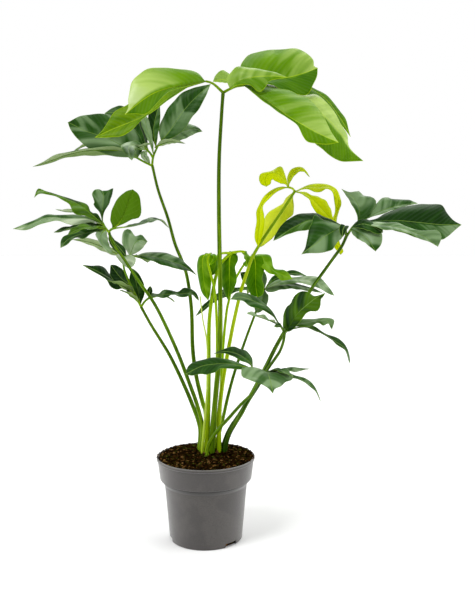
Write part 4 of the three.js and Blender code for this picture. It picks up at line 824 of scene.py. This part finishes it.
def formed(share, rib, half, face, fold=12, wave=2, widest=0.56, taper=2):
    """A leaflet's midrib, its directions up, and how far its left and right edge are from the midrib.

    At share u each half reaches half · ((u/m)^m · ((1 - u)/(1 - m))^(1 - m))^taper from the midrib, with m
    its widest share, is turned up by its fold, and waves by wave · sin(2π · waves · u) · 4u(1 - u).
    """
    across, up, toward = face
    places, side, up, _ = carried(seen(rib), share, unit(np.array((across, -toward, up), float)))
    ripple = wave * np.sin(2 * np.pi * WAVES * share) * 4 * share * (1 - share)
    edges = []
    for hand, most, turned, peak in zip((-1, 1), pair(half), np.radians(pair(fold)), pair(widest)):
        full = ((share / peak) ** peak * ((1 - share) / (1 - peak)) ** (1 - peak)) ** taper
        width = np.maximum(full * most, least_width(share))
        lift = width * np.sin(turned) + hand * ripple
        edges.append(side * (hand * width * np.cos(turned))[:, None] + up * lift[:, None])
    return places, up, edges


def drawn(share, rib, left, right):
    """The same for a leaflet whose row has the points of its edges: each edge is a smooth curve from the
    midrib's start over its points to the midrib's end, and shares of the three curves belong together. The
    direction up is the one from edge to edge × along."""
    places, along, _ = curve(seen(rib), share)
    lines = [seen([rib[0], *edge, rib[-1]]) for edge in (left, right)]
    start, end = (curve(line, np.clip(share, NEAR_END, 1 - NEAR_END))[0] for line in lines)
    side = unit(end - start)
    edges = []
    for hand, line in zip((-1, 1), lines):
        edge = curve(line, share)[0] - places
        short = least_width(share) - hand * np.sum(edge * side, axis=-1)
        edges.append(edge + side * (hand * np.maximum(short, 0))[:, None])
    return places, unit(np.cross(side, along)), edges


def leaflet(rib, tone=0.0, fresh=0.0, arch=ARCH, seed=0, **form):
    """A leaflet: a thin blade on both sides of its midrib, with the raised rib below it.

    A point at share v of the way from the midrib to an edge is lifted by the arch, width · arch · sin(πv),
    and by a flutter that grows with v⁴. Its two sides lie half a thickness out from there, square to the
    half they belong to, times the root of 1 - v⁸, which rounds the edge.
    """
    chance = np.random.default_rng(seed)
    length = curve(seen(rib), np.zeros(1))[2]
    rows = int(np.clip(length / ROW_STEP, *LEAFLET_ROWS))
    even = np.linspace(0, 1, rows)
    share = (even + (1 - np.cos(np.pi * even)) / 2) / 2
    places, up, (left, right) = (drawn if "left" in form else formed)(share, rib, **form)

    out = np.sin(np.pi / 2 * np.linspace(-1, 1, 2 * BLADE_COLUMNS + 1))
    far, turned = np.abs(out), out > 0
    u = share[:, None]
    beat, phase = chance.uniform(3, 6, 2), chance.uniform(0, 2 * np.pi, 4)
    uneven = 1 + UNEVENNESS * np.sin(2 * np.pi * beat[0] * u + np.where(turned, phase[0], phase[1]))
    reach = np.where(turned[:, None], right[:, None], left[:, None]) * uneven[..., None]
    width = np.linalg.norm(reach, axis=-1)
    flutter = FLUTTER * np.sin(2 * np.pi * beat[1] * u + np.where(turned, phase[2], phase[3])) * far**4
    lift = width * arch * np.sin(np.pi * far) + flutter * 4 * u * (1 - u)
    middle = places[:, None] + far[:, None] * reach + up[:, None] * lift[..., None]
    hand = np.where(turned, 1, -1)[:, None]
    outward = unit(np.cross(hand * reach, unit(np.gradient(places, axis=0))[:, None]))
    outward = unit(far[:, None] * outward + (1.02 - far[:, None]) * up[:, None])
    thick = BLADE_THICKNESS / 2 * np.sqrt(1 - far**8)[:, None] * outward

    def both_sides(above, below):
        return np.concatenate((above, below[:, -2:0:-1]), axis=1)

    vein = (u * length - VEIN_SLANT * far * width) / VEIN_SPACING + VEIN_STAGGER * turned
    lay = np.stack((far * width, (1 - far) * width, vein), axis=-1)
    tones = [root + (tip - root) * u for root, tip in (pair(half) for half in pair(tone))]
    tones = np.where(turned, tones[1], tones[0])
    beneath = both_sides(np.zeros_like(tones), np.ones_like(tones))
    kind = np.stack(np.broadcast_arrays(beneath, both_sides(tones, tones), fresh), axis=-1)
    blade = skin(both_sides(middle + thick, middle - thick), both_sides(lay, lay), kind)

    rib_line = (places - RIB_DROP * up)[:max(int(RIB_SHARE * rows), 4):2]
    return [blade, stalk(rib_line, RIB_RADII, unit(up.mean(axis=0)))]


def revolved(profile, columns):
    """Rings of a body turned round the upright axis: at angle t, a point of the profile (radius, height)
    lies at (radius · cos t, radius · sin t, height)."""
    turn = np.linspace(0, 2 * np.pi, columns, endpoint=False)
    radius, height = np.array(profile, float).T
    flat = round_axis(radius[:, None], turn)
    return np.concatenate((flat, np.broadcast_to(height[:, None, None], (*flat.shape[:2], 1))), axis=-1)


def rounded(profile, radius, steps=5):
    """A profile with each inner corner rounded: between points cut off at the radius from the corner, the
    curve (1 - s)² · a + 2s(1 - s) · corner + s² · b."""
    profile = np.array(profile, float)
    before, corner, behind = profile[:-2], profile[1:-1], profile[2:]
    back, on = before - corner, behind - corner
    reach = np.minimum(radius, 0.4 * np.minimum(*(np.linalg.norm(x, axis=1) for x in (back, on))))[:, None]
    a, b = corner + unit(back) * reach, corner + unit(on) * reach
    s = np.linspace(0, 1, steps)[None, :, None]
    bends = (1 - s) ** 2 * a[:, None] + 2 * s * (1 - s) * corner[:, None] + s**2 * b[:, None]
    return np.vstack((profile[:1], bends.reshape(-1, 2), profile[-1:]))


def grain(places, size, seed, cells=128):
    """Smooth noise from -1 to 1: random heights on a square lattice with the given size, blended between
    its corners by 3s² - 2s³."""
    lattice = np.random.default_rng(seed).uniform(-1, 1, (cells, cells))
    cell = np.floor(places / size).astype(int)
    s = places / size - cell
    s = s * s * (3 - 2 * s)
    x, y, s, t = cell[..., 0] % cells, cell[..., 1] % cells, s[..., 0], s[..., 1]
    right, back = (x + 1) % cells, (y + 1) % cells
    near = lattice[x, y] * (1 - s) + lattice[right, y] * s
    far = lattice[x, back] * (1 - s) + lattice[right, back] * s
    return near * (1 - t) + far * t


def soil_top(places):
    """The height of the soil at (x, y): crowned by crown · (1 - r²/R²), with lumps of three sizes, and a
    low mound where the stalks come out."""
    crown = SOIL_CROWN * (1 - np.sum(places**2, axis=-1) / INNER_RADIUS**2)
    lumps = sum(height * grain(places + LUMP_SHIFT, size, seed) for height, size, seed in LUMPS)
    mound = MOUND_HEIGHT * np.exp(-np.sum((places - MOUND_PLACE) ** 2, axis=-1) / MOUND_SPREAD**2)
    return SOIL_EDGE + crown + lumps + mound


# Objects


def added(name, data):
    """A new object in the scene."""
    made = bpy.data.objects.new(name, data)
    bpy.context.scene.collection.objects.link(made)
    return made


def thing(name, node, skins, materials):
    """One object from skins: their points in metres, their faces, and the two values that materials read."""
    starts = np.cumsum([0] + [len(s["points"]) for s in skins])
    corners = [
        (s[part] + start, s["finish"]) for s, start in zip(skins, starts) for part in ("quads", "fans")]
    sizes = np.concatenate([np.full(len(faces), faces.shape[1]) for faces, _ in corners])
    finishes = np.concatenate([np.full(len(faces), finish) for faces, finish in corners])
    mesh = bpy.data.meshes.new(name)
    mesh.vertices.add(starts[-1])
    mesh.vertices.foreach_set("co", np.concatenate([s["points"] for s in skins]).ravel() / METRE)
    mesh.loops.add(sizes.sum())
    mesh.loops.foreach_set("vertex_index", np.concatenate([faces.ravel() for faces, _ in corners]))
    mesh.polygons.add(len(sizes))
    mesh.polygons.foreach_set("loop_start", np.cumsum(sizes) - sizes)
    mesh.polygons.foreach_set("material_index", finishes)
    mesh.update(calc_edges=True)
    for key in ("lay", "kind"):
        values = mesh.attributes.new(key, "FLOAT_VECTOR", "POINT")
        values.data.foreach_set("vector", np.concatenate([s[key] for s in skins]).ravel())
    mesh.shade_smooth()
    for material in materials:
        mesh.materials.append(material)
    made = added(name, mesh)
    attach(made, "root")
    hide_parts(node)
    return made


def petiole_line(plant):
    """The places along a petiole: upright in the soil, then along its points."""
    x, y = plant["foot"]
    return np.vstack(((x, y, FOOT_DEPTH), (x, y, POT_HEIGHT), seen(plant["petiole"])))


def frond(plant, seed):
    """A frond: its petiole, the arms at its top, and the leaflets on them."""
    skins = [stalk(petiole_line(plant), plant["radii"], bead=0.12, channel=0.14)]
    for arm in plant["arms"]:
        radii = (ARM_START * plant["radii"][1], ARM_END)
        skins.append(stalk(seen(arm), radii, bead=0.15, channel=0.1, tone=0.7))
    for number, row in enumerate(plant["leaflets"]):
        skins += leaflet(**row, seed=100 * seed + number)
    look = LOOKS[plant["look"]]
    return thing(plant["name"] + "_leaves", plant["name"], skins, (look["leaf"], look["stalk"]))


# Materials


def paint(red, green, blue):
    """A colour given as 0 to 255 on a screen, as the light it stands for."""
    shares = np.array((red, green, blue)) / 255
    light = np.where(shares <= 0.04045, shares / 12.92, ((shares + 0.055) / 1.055) ** 2.4)
    return (*light.tolist(), 1.0)


def feed(tree, sockets, values):
    """Each of the sockets set to its value, or linked to it where that is a socket too."""
    for key, value in dict(values).items():
        if isinstance(value, bpy.types.NodeSocket):
            tree.links.new(value, sockets[key])
        else:
            sockets[key].default_value = value


def put(tree, kind, inputs=(), **settings):
    """A node with its settings and inputs."""
    node = tree.nodes.new("ShaderNode" + kind)
    for key, value in settings.items():
        setattr(node, key, value)
    feed(tree, node.inputs, inputs)
    return node


def sums(tree, operation, *values):
    """A value worked out from others."""
    return put(tree, "Math", enumerate(values), operation=operation).outputs[0]


def times(tree, a, b):
    """The product of two values."""
    return sums(tree, "MULTIPLY", a, b)


def blend(tree, share, a, b):
    """A colour that goes from a to b with the share. Either can be given as 0 to 255 on a screen."""
    a, b = (paint(*colour) if isinstance(colour, tuple) else colour for colour in (a, b))
    return put(tree, "Mix", {0: share, 6: a, 7: b}, data_type="RGBA").outputs[2]


def layered(tree, colour, layers):
    """A colour with layers on top of each other, each a share and the colour it goes to."""
    for share, over in layers:
        colour = blend(tree, share, colour, over)
    return colour


def between(tree, value, low, high, first=0.0, last=1.0, smooth=True):
    """A value that goes from first to last as the value goes from low to high, and stays there."""
    inputs = {0: value, 1: low, 2: high, 3: first, 4: last}
    kind = "SMOOTHSTEP" if smooth else "LINEAR"
    return put(tree, "MapRange", inputs, interpolation_type=kind).outputs[0]


def noise(tree, places, scale, detail, **inputs):
    """Cloudy noise at the places."""
    return put(tree, "TexNoise", {"Vector": places, "Scale": scale, "Detail": detail, **inputs}).outputs[0]


def own_places(tree):
    """The object's own places, in metres."""
    return put(tree, "TexCoord").outputs["Object"]


def split(tree, vector):
    """The three values of a vector."""
    return put(tree, "SeparateXYZ", {0: vector}).outputs


def group(name, inputs, outputs):
    """A new node group with inputs and outputs of the given names, and its sockets for both."""
    made = bpy.data.node_groups.new(name, "ShaderNodeTree")
    for titles, way in ((inputs, "INPUT"), (outputs, "OUTPUT")):
        for title in titles.split():
            kind = "Vector" if title == "Lay" else "Float"
            made.interface.new_socket(title, in_out=way, socket_type="NodeSocket" + kind)
    return made, made.nodes.new("NodeGroupInput").outputs, made.nodes.new("NodeGroupOutput").inputs


def use(tree, made, **inputs):
    """The outputs of a node group, with its inputs fed."""
    node = tree.nodes.new("ShaderNodeGroup")
    node.node_tree = made
    feed(tree, node.inputs, inputs)
    return node.outputs


def leaf_lines():
    """Masks of the midrib, the side veins, the edge and broad bands along the veins, which make patches of
    painted sheen and painted shade, and the height of the swelling between veins, from the distances to rib
    and edge and from the count of veins, whose fraction is 0 on each vein."""
    made, given, result = group("leaf_lines", "Lay RibWidth", "Rib Vein Edge Swell Band")
    from_rib, from_edge, count = split(made, given["Lay"])
    away = sums(made, "ABSOLUTE", sums(made, "SUBTRACT", sums(made, "FRACT", count), 0.5))
    inner = between(made, from_edge, 0.5, 5.0)
    places = put(made, "VectorMath", {0: own_places(made), 3: 14.0}, operation="SCALE").outputs[0]
    along = put(made, "CombineXYZ", {0: times(made, count, 0.4)}).outputs[0]
    spread = put(made, "VectorMath", {0: places, 1: along}, operation="ADD").outputs[0]
    feed(made, result, {
        "Rib": between(made, from_rib, times(made, given["RibWidth"], 0.45), given["RibWidth"], 1.0, 0.0),
        "Vein": times(made, between(made, away, 0.43, 0.5), inner),
        "Edge": between(made, from_edge, 0.4, 1.5, 1.0, 0.0),
        "Swell": times(made, between(made, away, 0.5, 0.1), inner),
        "Band": between(made, noise(made, spread, 1.0, 1.5), 0.36, 0.62),
    })
    return made


def cloudy():
    """Soft mottling from 0 to 1, from noise on the object's own places."""
    made, given, result = group("cloudy", "Scale Detail", "Value")
    cloud = noise(made, own_places(made), given["Scale"], given["Detail"])
    feed(made, result, {"Value": between(made, cloud, 0.3, 0.7)})
    return made


def mottled(tree, scale, detail):
    """Soft mottling of the given scale and detail."""
    return use(tree, CLOUDY, Scale=scale, Detail=detail)[0]


def new_material(name):
    """A new material, its nodes and its shader."""
    made = bpy.data.materials.new(name)
    made.use_nodes = True
    return made, made.node_tree, made.node_tree.nodes["Principled BSDF"]


def read(tree, name):
    """A mesh's own attribute, as a vector."""
    return put(tree, "Attribute", attribute_name=name).outputs["Vector"]


def bumped(tree, height, strength, distance):
    """The normal of a surface with fine relief, its distance in metres."""
    return put(tree, "Bump", {"Height": height, "Strength": strength, "Distance": distance}).outputs[0]


def leaf_material(name, top, dark, pale, fresh, under, rib, tint, band=0.9):
    """A satin leaf: its colour mottled and set by its tone and freshness, the tone and the bands partly its
    own colour and partly painted shade toward the dark colour and painted sheen toward the pale and sheen
    colours, with paler ribs and edge, faint side veins with soft swellings between them, and a duller, paler
    underside."""
    made, tree, shader = new_material(name)
    beneath, tone, freshness = split(tree, read(tree, "kind"))
    lines = use(tree, LEAF_LINES, Lay=read(tree, "lay"), RibWidth=0.8)
    patch, fine = mottled(tree, 24.0, 2.0), mottled(tree, 160.0, 4.0)
    # The shift is the tone plus the bands: below 0 it paints shade and above 0 it paints sheen, partly the
    # leaf's own colour.
    shift = sums(tree, "MULTIPLY_ADD", lines["Band"], band, sums(tree, "SUBTRACT", tone, 0.55 * band))

    def ramp(value, low, high, most=1.0):
        return between(tree, value, low, high, 0.0, most, smooth=False)

    face = layered(tree, blend(tree, times(tree, patch, 0.4), top, dark), (
        (freshness, fresh), (ramp(shift, 0.0, -1.0), dark), (ramp(shift, 0.0, 1.0), pale),
        (ramp(shift, 1.0, 2.0, 0.8), SHEEN), (times(tree, lines["Swell"], 0.08), pale),
        (times(tree, lines["Vein"], 0.16), rib), (times(tree, lines["Edge"], 0.6), rib),
        (times(tree, lines["Rib"], 0.8), rib),
    ))
    # The underside turns toward the top colour for a low tone and toward the painted sheen for a high one.
    back = layered(tree, blend(tree, times(tree, fine, 0.25), under, top), (
        (ramp(tone, 0.0, -1.0), top), (ramp(tone, 0.0, 2.0, 0.8), SHEEN), (freshness, fresh),
        (times(tree, lines["Vein"], 0.3), rib),
    ))
    dull = sums(tree, "ADD", times(tree, patch, 0.1), times(tree, beneath, 0.16))
    height = sums(tree, "SUBTRACT", times(tree, lines["Swell"], 0.5), lines["Rib"])
    feed(tree, shader.inputs, {
        "Base Color": blend(tree, beneath, face, back),
        "Roughness": sums(tree, "ADD", dull, 0.27),
        "Normal": bumped(tree, height, 0.25, 0.0006),
        "Coat Weight": ramp(shift, 0.0, 1.4, 0.5),
        "Coat Roughness": 0.3,
        "Coat IOR": 1.4,
        "Specular IOR Level": 0.05,
        "Specular Tint": paint(*tint),
    })
    return made


def stalk_material(name, foot, body, streak, head=None, rough=0.42):
    """A smooth stalk with fine streaks along it, paler at its foot and, with a head colour, darker on top."""
    made, tree, shader = new_material(name)
    share, tone, _ = split(tree, read(tree, "kind"))
    streaks = noise(tree, read(tree, "lay"), 2.4, 4.0, Distortion=0.2)
    line = sums(tree, "ADD", between(tree, streaks, 0.42, 0.66), tone)
    fine = mottled(tree, 300.0, 2.0)
    patchy = times(tree, between(tree, share, 0.36, 0.08), between(tree, streaks, 0.38, 0.56, 0.15, 0.95))
    layers = [(times(tree, fine, 0.15), foot), (patchy, foot)]
    if head:
        layers.append((sums(tree, "SUBTRACT", between(tree, share, 0.6, 0.82, 0.0, 0.8), tone), head))
    feed(tree, shader.inputs, {
        "Base Color": layered(tree, blend(tree, line, body, streak), layers),
        "Roughness": sums(tree, "ADD", times(tree, fine, 0.1), rough),
        "Normal": bumped(tree, line, 0.3, 0.0004),
        "Specular IOR Level": 0.2,
        "Specular Tint": paint(220, 255, 120),
    })
    return made


def plastic_material():
    """Grey moulded plastic: fine grain, soft mottling, painted shade under the collar and a pale painted
    highlight on the rim.
    """
    made, tree, shader = new_material("pot_plastic")
    height = split(tree, own_places(tree))[2]
    soft, speck = mottled(tree, 20.0, 5.0), mottled(tree, 900.0, 1.0)

    def rising(low, high, first=0.0, last=1.0):
        return between(tree, height, low / METRE, high / METRE, first, last)

    # Painted shade: the wall is darkened toward brown-black just under the collar, where shade falls.
    shade = times(tree, rising(SHOULDER[1] - 2, COLLAR[1] - 4), rising(COLLAR[1], COLLAR[1] + 0.5, 1.0, 0.0))
    # Painted highlight: the top of the rim is made paler.
    rim = rising(POT_HEIGHT - 2.5, POT_HEIGHT - 0.5)
    plain = blend(tree, between(tree, soft, 0.25, 0.75), (64, 60, 58), (76, 72, 69))
    feed(tree, shader.inputs, {
        "Base Color": layered(tree, plain, (
            (between(tree, speck, 0.45, 0.75, 0.0, 0.5), (48, 45, 43)),
            (times(tree, shade, 0.9), (14, 9, 5)), (times(tree, rim, 0.2), (150, 147, 143)),
        )),
        "Roughness": sums(tree, "ADD", times(tree, soft, 0.12), 0.46),
        "Normal": bumped(tree, speck, 0.35, 0.0002),
        "Sheen Weight": 0.52,
        "Sheen Roughness": 0.45,
    })
    return made


def soil_material():
    """Dark moist soil: near-black brown with tan and mossy specks."""
    made, tree, shader = new_material("potting_soil")
    places = own_places(tree)
    coarse = noise(tree, places, 180.0, 5.0)
    cells = put(tree, "TexVoronoi", {"Vector": places, "Scale": 330.0, "Randomness": 1.0})
    flake = put(tree, "SeparateColor", {0: cells.outputs["Color"]}).outputs
    mossy = times(tree, between(tree, flake[1], 0.8, 0.9), times(tree, mottled(tree, 26.0, 3.0), 0.6))
    earth = blend(tree, between(tree, coarse, 0.35, 0.7), (8, 4, 1), (38, 22, 5))
    feed(tree, shader.inputs, {
        "Base Color": layered(tree, earth, (
            (between(tree, flake[0], 0.93, 0.97), (104, 74, 38)), (mossy, (70, 80, 26)),
        )),
        "Normal": bumped(tree, coarse, 0.9, 0.002),
        "Roughness": 0.85,
        "Specular IOR Level": 0.0,
    })
    return made


def crumb_material():
    """Crumbs, chips and roots: each one's tone picks dark earth, brown bark, tan wood or moss."""
    made, tree, shader = new_material("soil_crumbs")
    tone = split(tree, read(tree, "kind"))[1]
    earth = blend(tree, between(tree, tone, 0.3, 0.6), (14, 8, 3), (56, 34, 12))
    feed(tree, shader.inputs, {
        "Base Color": layered(tree, earth, (
            (between(tree, tone, 0.78, 0.9), (126, 94, 54)), (between(tree, tone, 0.97, 0.98), (78, 88, 30)),
            (times(tree, mottled(tree, 500.0, 3.0), 0.4), (18, 11, 6)),
        )),
        "Roughness": 0.8,
        "Specular IOR Level": 0.0,
    })
    return made


SHEEN = (212, 224, 192)
LEAF_LINES = leaf_lines()
CLOUDY = cloudy()
LOOKS = {
    "bright": dict(
        slot="leaf_bright",
        leaf=leaf_material(
            "bright_leaf", top=(96, 142, 4), dark=(46, 98, 0), pale=(172, 200, 100), fresh=(128, 160, 0),
            under=(136, 164, 70), rib=(168, 198, 30), tint=(235, 255, 180), band=0.4),
        stalk=stalk_material("olive_stalk", (84, 118, 4), (62, 96, 0), (122, 156, 16), head=(46, 78, 0)),
    ),
    "dark": dict(
        slot="leaf_dark",
        leaf=leaf_material(
            "dark_leaf", top=(40, 82, 18), dark=(2, 38, 0), pale=(122, 150, 104), fresh=(74, 114, 0),
            under=(124, 148, 84), rib=(112, 144, 62), tint=(225, 255, 215)),
        stalk=stalk_material("green_stalk", (142, 178, 24), (32, 74, 0), (98, 138, 12)),
    ),
    "young": dict(
        slot="leaf_young",
        leaf=leaf_material(
            "young_leaf", top=(88, 138, 0), dark=(44, 98, 0), pale=(146, 188, 40), fresh=(120, 168, 0),
            under=(118, 162, 20), rib=(132, 176, 16), tint=(220, 255, 130), band=0.6),
        stalk=stalk_material("young_stalk", (184, 212, 10), (122, 164, 0), (166, 196, 20)),
    ),
    "yellow": dict(
        slot="leaf_yellow",
        leaf=leaf_material(
            "yellow_leaf", top=(198, 212, 0), dark=(168, 190, 0), pale=(214, 224, 50), fresh=(160, 190, 0),
            under=(194, 212, 0), rib=(144, 170, 0), tint=(245, 255, 130), band=0.4),
        stalk=stalk_material(
            "yellow_stalk", (150, 184, 10), (156, 184, 0), (186, 206, 40), head=(96, 134, 0)),
    ),
}
LOOKS["deep"] = dict(
    LOOKS["dark"], stalk=stalk_material("deep_stalk", (30, 72, 0), (18, 58, 0), (112, 150, 40)))


# The pot, its soil and the old stump

RIM_WALL = RIM_RADIUS - BEAD_STANDS_OUT
INNER_RADIUS = RIM_WALL - WALL

# Radius and height from under the base up the outside, over the rim and down the inside to the pot's floor,
# with a small undercut below the collar
POT_PROFILE = [
    (NEAR_AXIS, 0), (BASE_RADIUS - 1, 0), (BASE_RADIUS, 1.2), SHOULDER,
    (COLLAR[0] - 3, COLLAR[1] - 2.6), (COLLAR[0] - 2.6, COLLAR[1] - 0.4), COLLAR,
    (RIM_WALL, POT_HEIGHT - BEAD_DEPTH), (RIM_RADIUS, POT_HEIGHT - BEAD_DEPTH + 0.8),
    (RIM_RADIUS, POT_HEIGHT - 0.6), (RIM_RADIUS - 1, POT_HEIGHT), (INNER_RADIUS, POT_HEIGHT),
    (INNER_RADIUS, POT_HEIGHT - BEAD_DEPTH), (COLLAR[0] - WALL, COLLAR[1] + WALL / 2),
    (SHOULDER[0] - WALL, SHOULDER[1] + WALL / 2), (BASE_RADIUS - WALL, FLOOR), (NEAR_AXIS, FLOOR),
]


def pot():
    """The pot: its rounded profile turned round the axis, with the three notches cut out of its foot."""
    rings = revolved(rounded(POT_PROFILE, CORNER_ROUNDING), POT_COLUMNS)
    made = thing("nursery_pot", "pot", [skin(rings)], [plastic_material()])
    ends = (-0.5, 0.5)
    block = np.array([[x, y, z] for z in ends for y in ends for x in ends]) * NOTCH_SIZE
    block = block - (0, BASE_RADIUS, 0)
    faces = [(0, 2, 3, 1), (4, 5, 7, 6), (0, 1, 5, 4), (2, 6, 7, 3), (0, 4, 6, 2), (1, 3, 7, 5)]
    for turn in np.radians(NOTCH_TURNS):
        across = np.array(((np.cos(turn), np.sin(turn), 0), (-np.sin(turn), np.cos(turn), 0), (0, 0, 1)))
        mesh = bpy.data.meshes.new("notch")
        mesh.from_pydata(block @ across / METRE, [], faces)
        cutter = added("notch", mesh)
        cut = made.modifiers.new("notch", "BOOLEAN")
        cut.operation, cut.solver, cut.object = "DIFFERENCE", "EXACT", cutter
        depsgraph = bpy.context.evaluated_depsgraph_get()
        finished = bpy.data.meshes.new_from_object(made.evaluated_get(depsgraph))
        made.modifiers.clear()
        made.data = finished
        bpy.data.objects.remove(cutter)
    made.data.set_sharp_from_angle(angle=math.radians(SHARP_EDGE))


def soil():
    """The soil: its side follows the pot's inside, and its top is the height field of the lumps."""
    inset, reach = WALL + SOIL_GAP, INNER_RADIUS - 1.5 * SOIL_GAP
    side = [
        (NEAR_AXIS, FLOOR + SOIL_GAP), (BASE_RADIUS - inset, FLOOR + SOIL_GAP),
        (SHOULDER[0] - inset, SHOULDER[1] + WALL / 2 + SOIL_GAP),
        (COLLAR[0] - inset, COLLAR[1] + WALL / 2 + SOIL_GAP), (reach, SOIL_SIDE),
    ]
    top = [(radius, SOIL_EDGE) for radius in np.linspace(reach, NEAR_AXIS, SOIL_RINGS)]
    rings = revolved(side + top, SOIL_COLUMNS)
    rings[len(side):, :, 2] = soil_top(rings[len(side):, :, :2])
    thing("soil_bed", "soil", [skin(rings)], [soil_material()])


def crumbs(count, sizes, stretch, seed, beside=None, away=0.0, lean=0.35):
    """Loose bits on the soil: small lumps, each a rough ball of a few faces, stretched, turned at random
    and laid half sunk on the soil's top or the rim, all over or each a way off from one of the places."""
    chance = np.random.default_rng(seed)
    reach = (INNER_RADIUS - 3) * np.sqrt(chance.uniform(0.02, 1, count))
    centre = round_axis(reach, chance.uniform(0, 2 * np.pi, count))
    if beside is not None:
        centre = beside[np.arange(count) % len(beside)] + away * unit(centre)
    on_rim = np.linalg.norm(centre, axis=1) > INNER_RADIUS - 1
    centre = np.column_stack((centre, np.where(on_rim, POT_HEIGHT - 0.2, soil_top(centre))))
    climb = np.linspace(0.12, 0.88, BIT_RINGS) * np.pi
    ball = revolved(np.stack((np.sin(climb), np.cos(climb)), axis=-1), BIT_COLUMNS)
    ball = ball * chance.uniform(0.7, 1.25, (count, BIT_RINGS, BIT_COLUMNS, 1))
    long, flat = chance.uniform(1, stretch, count), chance.uniform(0.5, 0.9, count)
    scale = np.stack((long, np.ones(count), flat), axis=-1)[:, None, None]
    ball = ball * scale * chance.uniform(*sizes, (count, 1, 1, 1))
    heading, tilt = chance.uniform(0, 2 * np.pi, count), chance.uniform(-lean, lean, count)
    ca, sa, cb, sb = np.cos(heading), np.sin(heading), np.cos(tilt), np.sin(tilt)
    turned = np.moveaxis(np.array((
        (ca * cb, -sa, ca * sb), (sa * cb, ca, sa * sb), (-sb, np.zeros(count), cb))), -1, 0)
    ball = np.einsum("nij,nrcj->nrci", turned, ball) + centre[:, None, None]
    kinds = np.zeros_like(ball)
    kinds[..., 1] = chance.uniform(0, 1, count)[:, None, None]
    return [skin(rings, kind=kind) for rings, kind in zip(ball, kinds)]


for number, plant in enumerate(FRONDS):
    frond(plant, number + 1)
spear_stalk = stalk_material("spear_stalk", (176, 210, 6), (176, 202, 60), (206, 220, 124))
thing("spear", "new_spear", [stalk(petiole_line(SPEAR), SPEAR["radii"])], (spear_stalk, spear_stalk))

pot()
soil()
feet = np.array([plant["foot"] for plant in FRONDS], float)
brink = round_axis(BRINK_RADIUS, np.radians(np.linspace(*BRINK_TURNS, BRINK_BITS)))
bits = crumbs(480, (0.6, 1.7), 1.8, 11) + crumbs(130, (0.35, 0.8), 8, 12) + crumbs(150, (1.6, 3.0), 1.4, 13)
bits += crumbs(40, (1.4, 3.0), 2.4, 14, beside=feet, away=6.5, lean=1.3)
bits += crumbs(BRINK_BITS, (0.8, 2.1), 1.6, 15, beside=brink, away=1.2)
thing("loose_bits", "soil", bits, [crumb_material()])

stump_line = np.array([(*STUMP_PLACE, height) for height in STUMP_HEIGHTS], float)
bark = stalk_material("stump_bark", (86, 66, 40), (104, 84, 52), (140, 118, 76), rough=0.8)
thing("old_stump", "stump", [stalk(stump_line, STUMP_RADII, channel=0.2)], (bark, bark))


# The room

GROUND = 40
ground = [(-GROUND, -GROUND, 0), (GROUND, -GROUND, 0), (GROUND, GROUND, 0), (-GROUND, GROUND, 0)]
floor_mesh = bpy.data.meshes.new("floor")
floor_mesh.from_pydata(ground, [], [(0, 1, 2, 3)])
floor = added("floor", floor_mesh)
floor_paint, floor_tree, floor_shader = new_material("pale_floor")
feed(floor_tree, floor_shader.inputs, {
    "Base Color": (0.95, 0.95, 0.95, 1), "Roughness": 0.9, "Specular IOR Level": 0.0})
floor_mesh.materials.append(floor_paint)

# Broad soft lights from far away: name, strength, spread, height above the floor and heading in degrees,
# which is counted from straight ahead of the plant to the right
SUNS = (("key", 1.7, 24, 56, -50), ("side", 0.9, 35, 42, 74), ("back", 0.9, 40, 55, 165))
for name, strength, spread, height, heading in SUNS:
    lamp = bpy.data.lights.new(name, "SUN")
    lamp.energy = strength
    lamp.angle = math.radians(spread)
    added(name, lamp).rotation_euler = (math.radians(90 - height), 0, math.radians(heading))

# The air is bright from the sides, soft from behind and above, and white where the camera sees it.
world = bpy.data.worlds.new("studio")
bpy.context.scene.world = world
world.use_nodes = True
air = world.node_tree
across, deep, high = split(air, put(air, "TexCoord").outputs["Generated"])
sides = between(air, sums(air, "ABSOLUTE", across), 0.5, 0.95, 0.0, 1.75)
behind = between(air, deep, 0.1, 0.9, 0.0, 0.5)
above = between(air, high, 0.5, 1.0, 0.0, 0.2)
soft = sums(air, "ADD", sums(air, "ADD", sides, behind), sums(air, "ADD", above, 0.06))
straight = put(air, "LightPath").outputs["Is Camera Ray"]
feed(air, air.nodes["Background"].inputs, {
    "Color": (1, 1, 1, 1), "Strength": put(air, "Mix", {0: straight, 2: soft, 3: 1.0}).outputs[0]})
bpy.context.scene.view_settings.view_transform = "Standard"

camera = bpy.data.cameras.new("camera")
camera.lens = 42
camera.sensor_width = 36
camera.clip_start, camera.clip_end = 0.05, 100
eye = added("camera", camera)
eye.location = EYE / METRE
eye.rotation_euler = (math.pi / 2 - LOOKING_DOWN, 0, 0)
bpy.context.scene.camera = eye
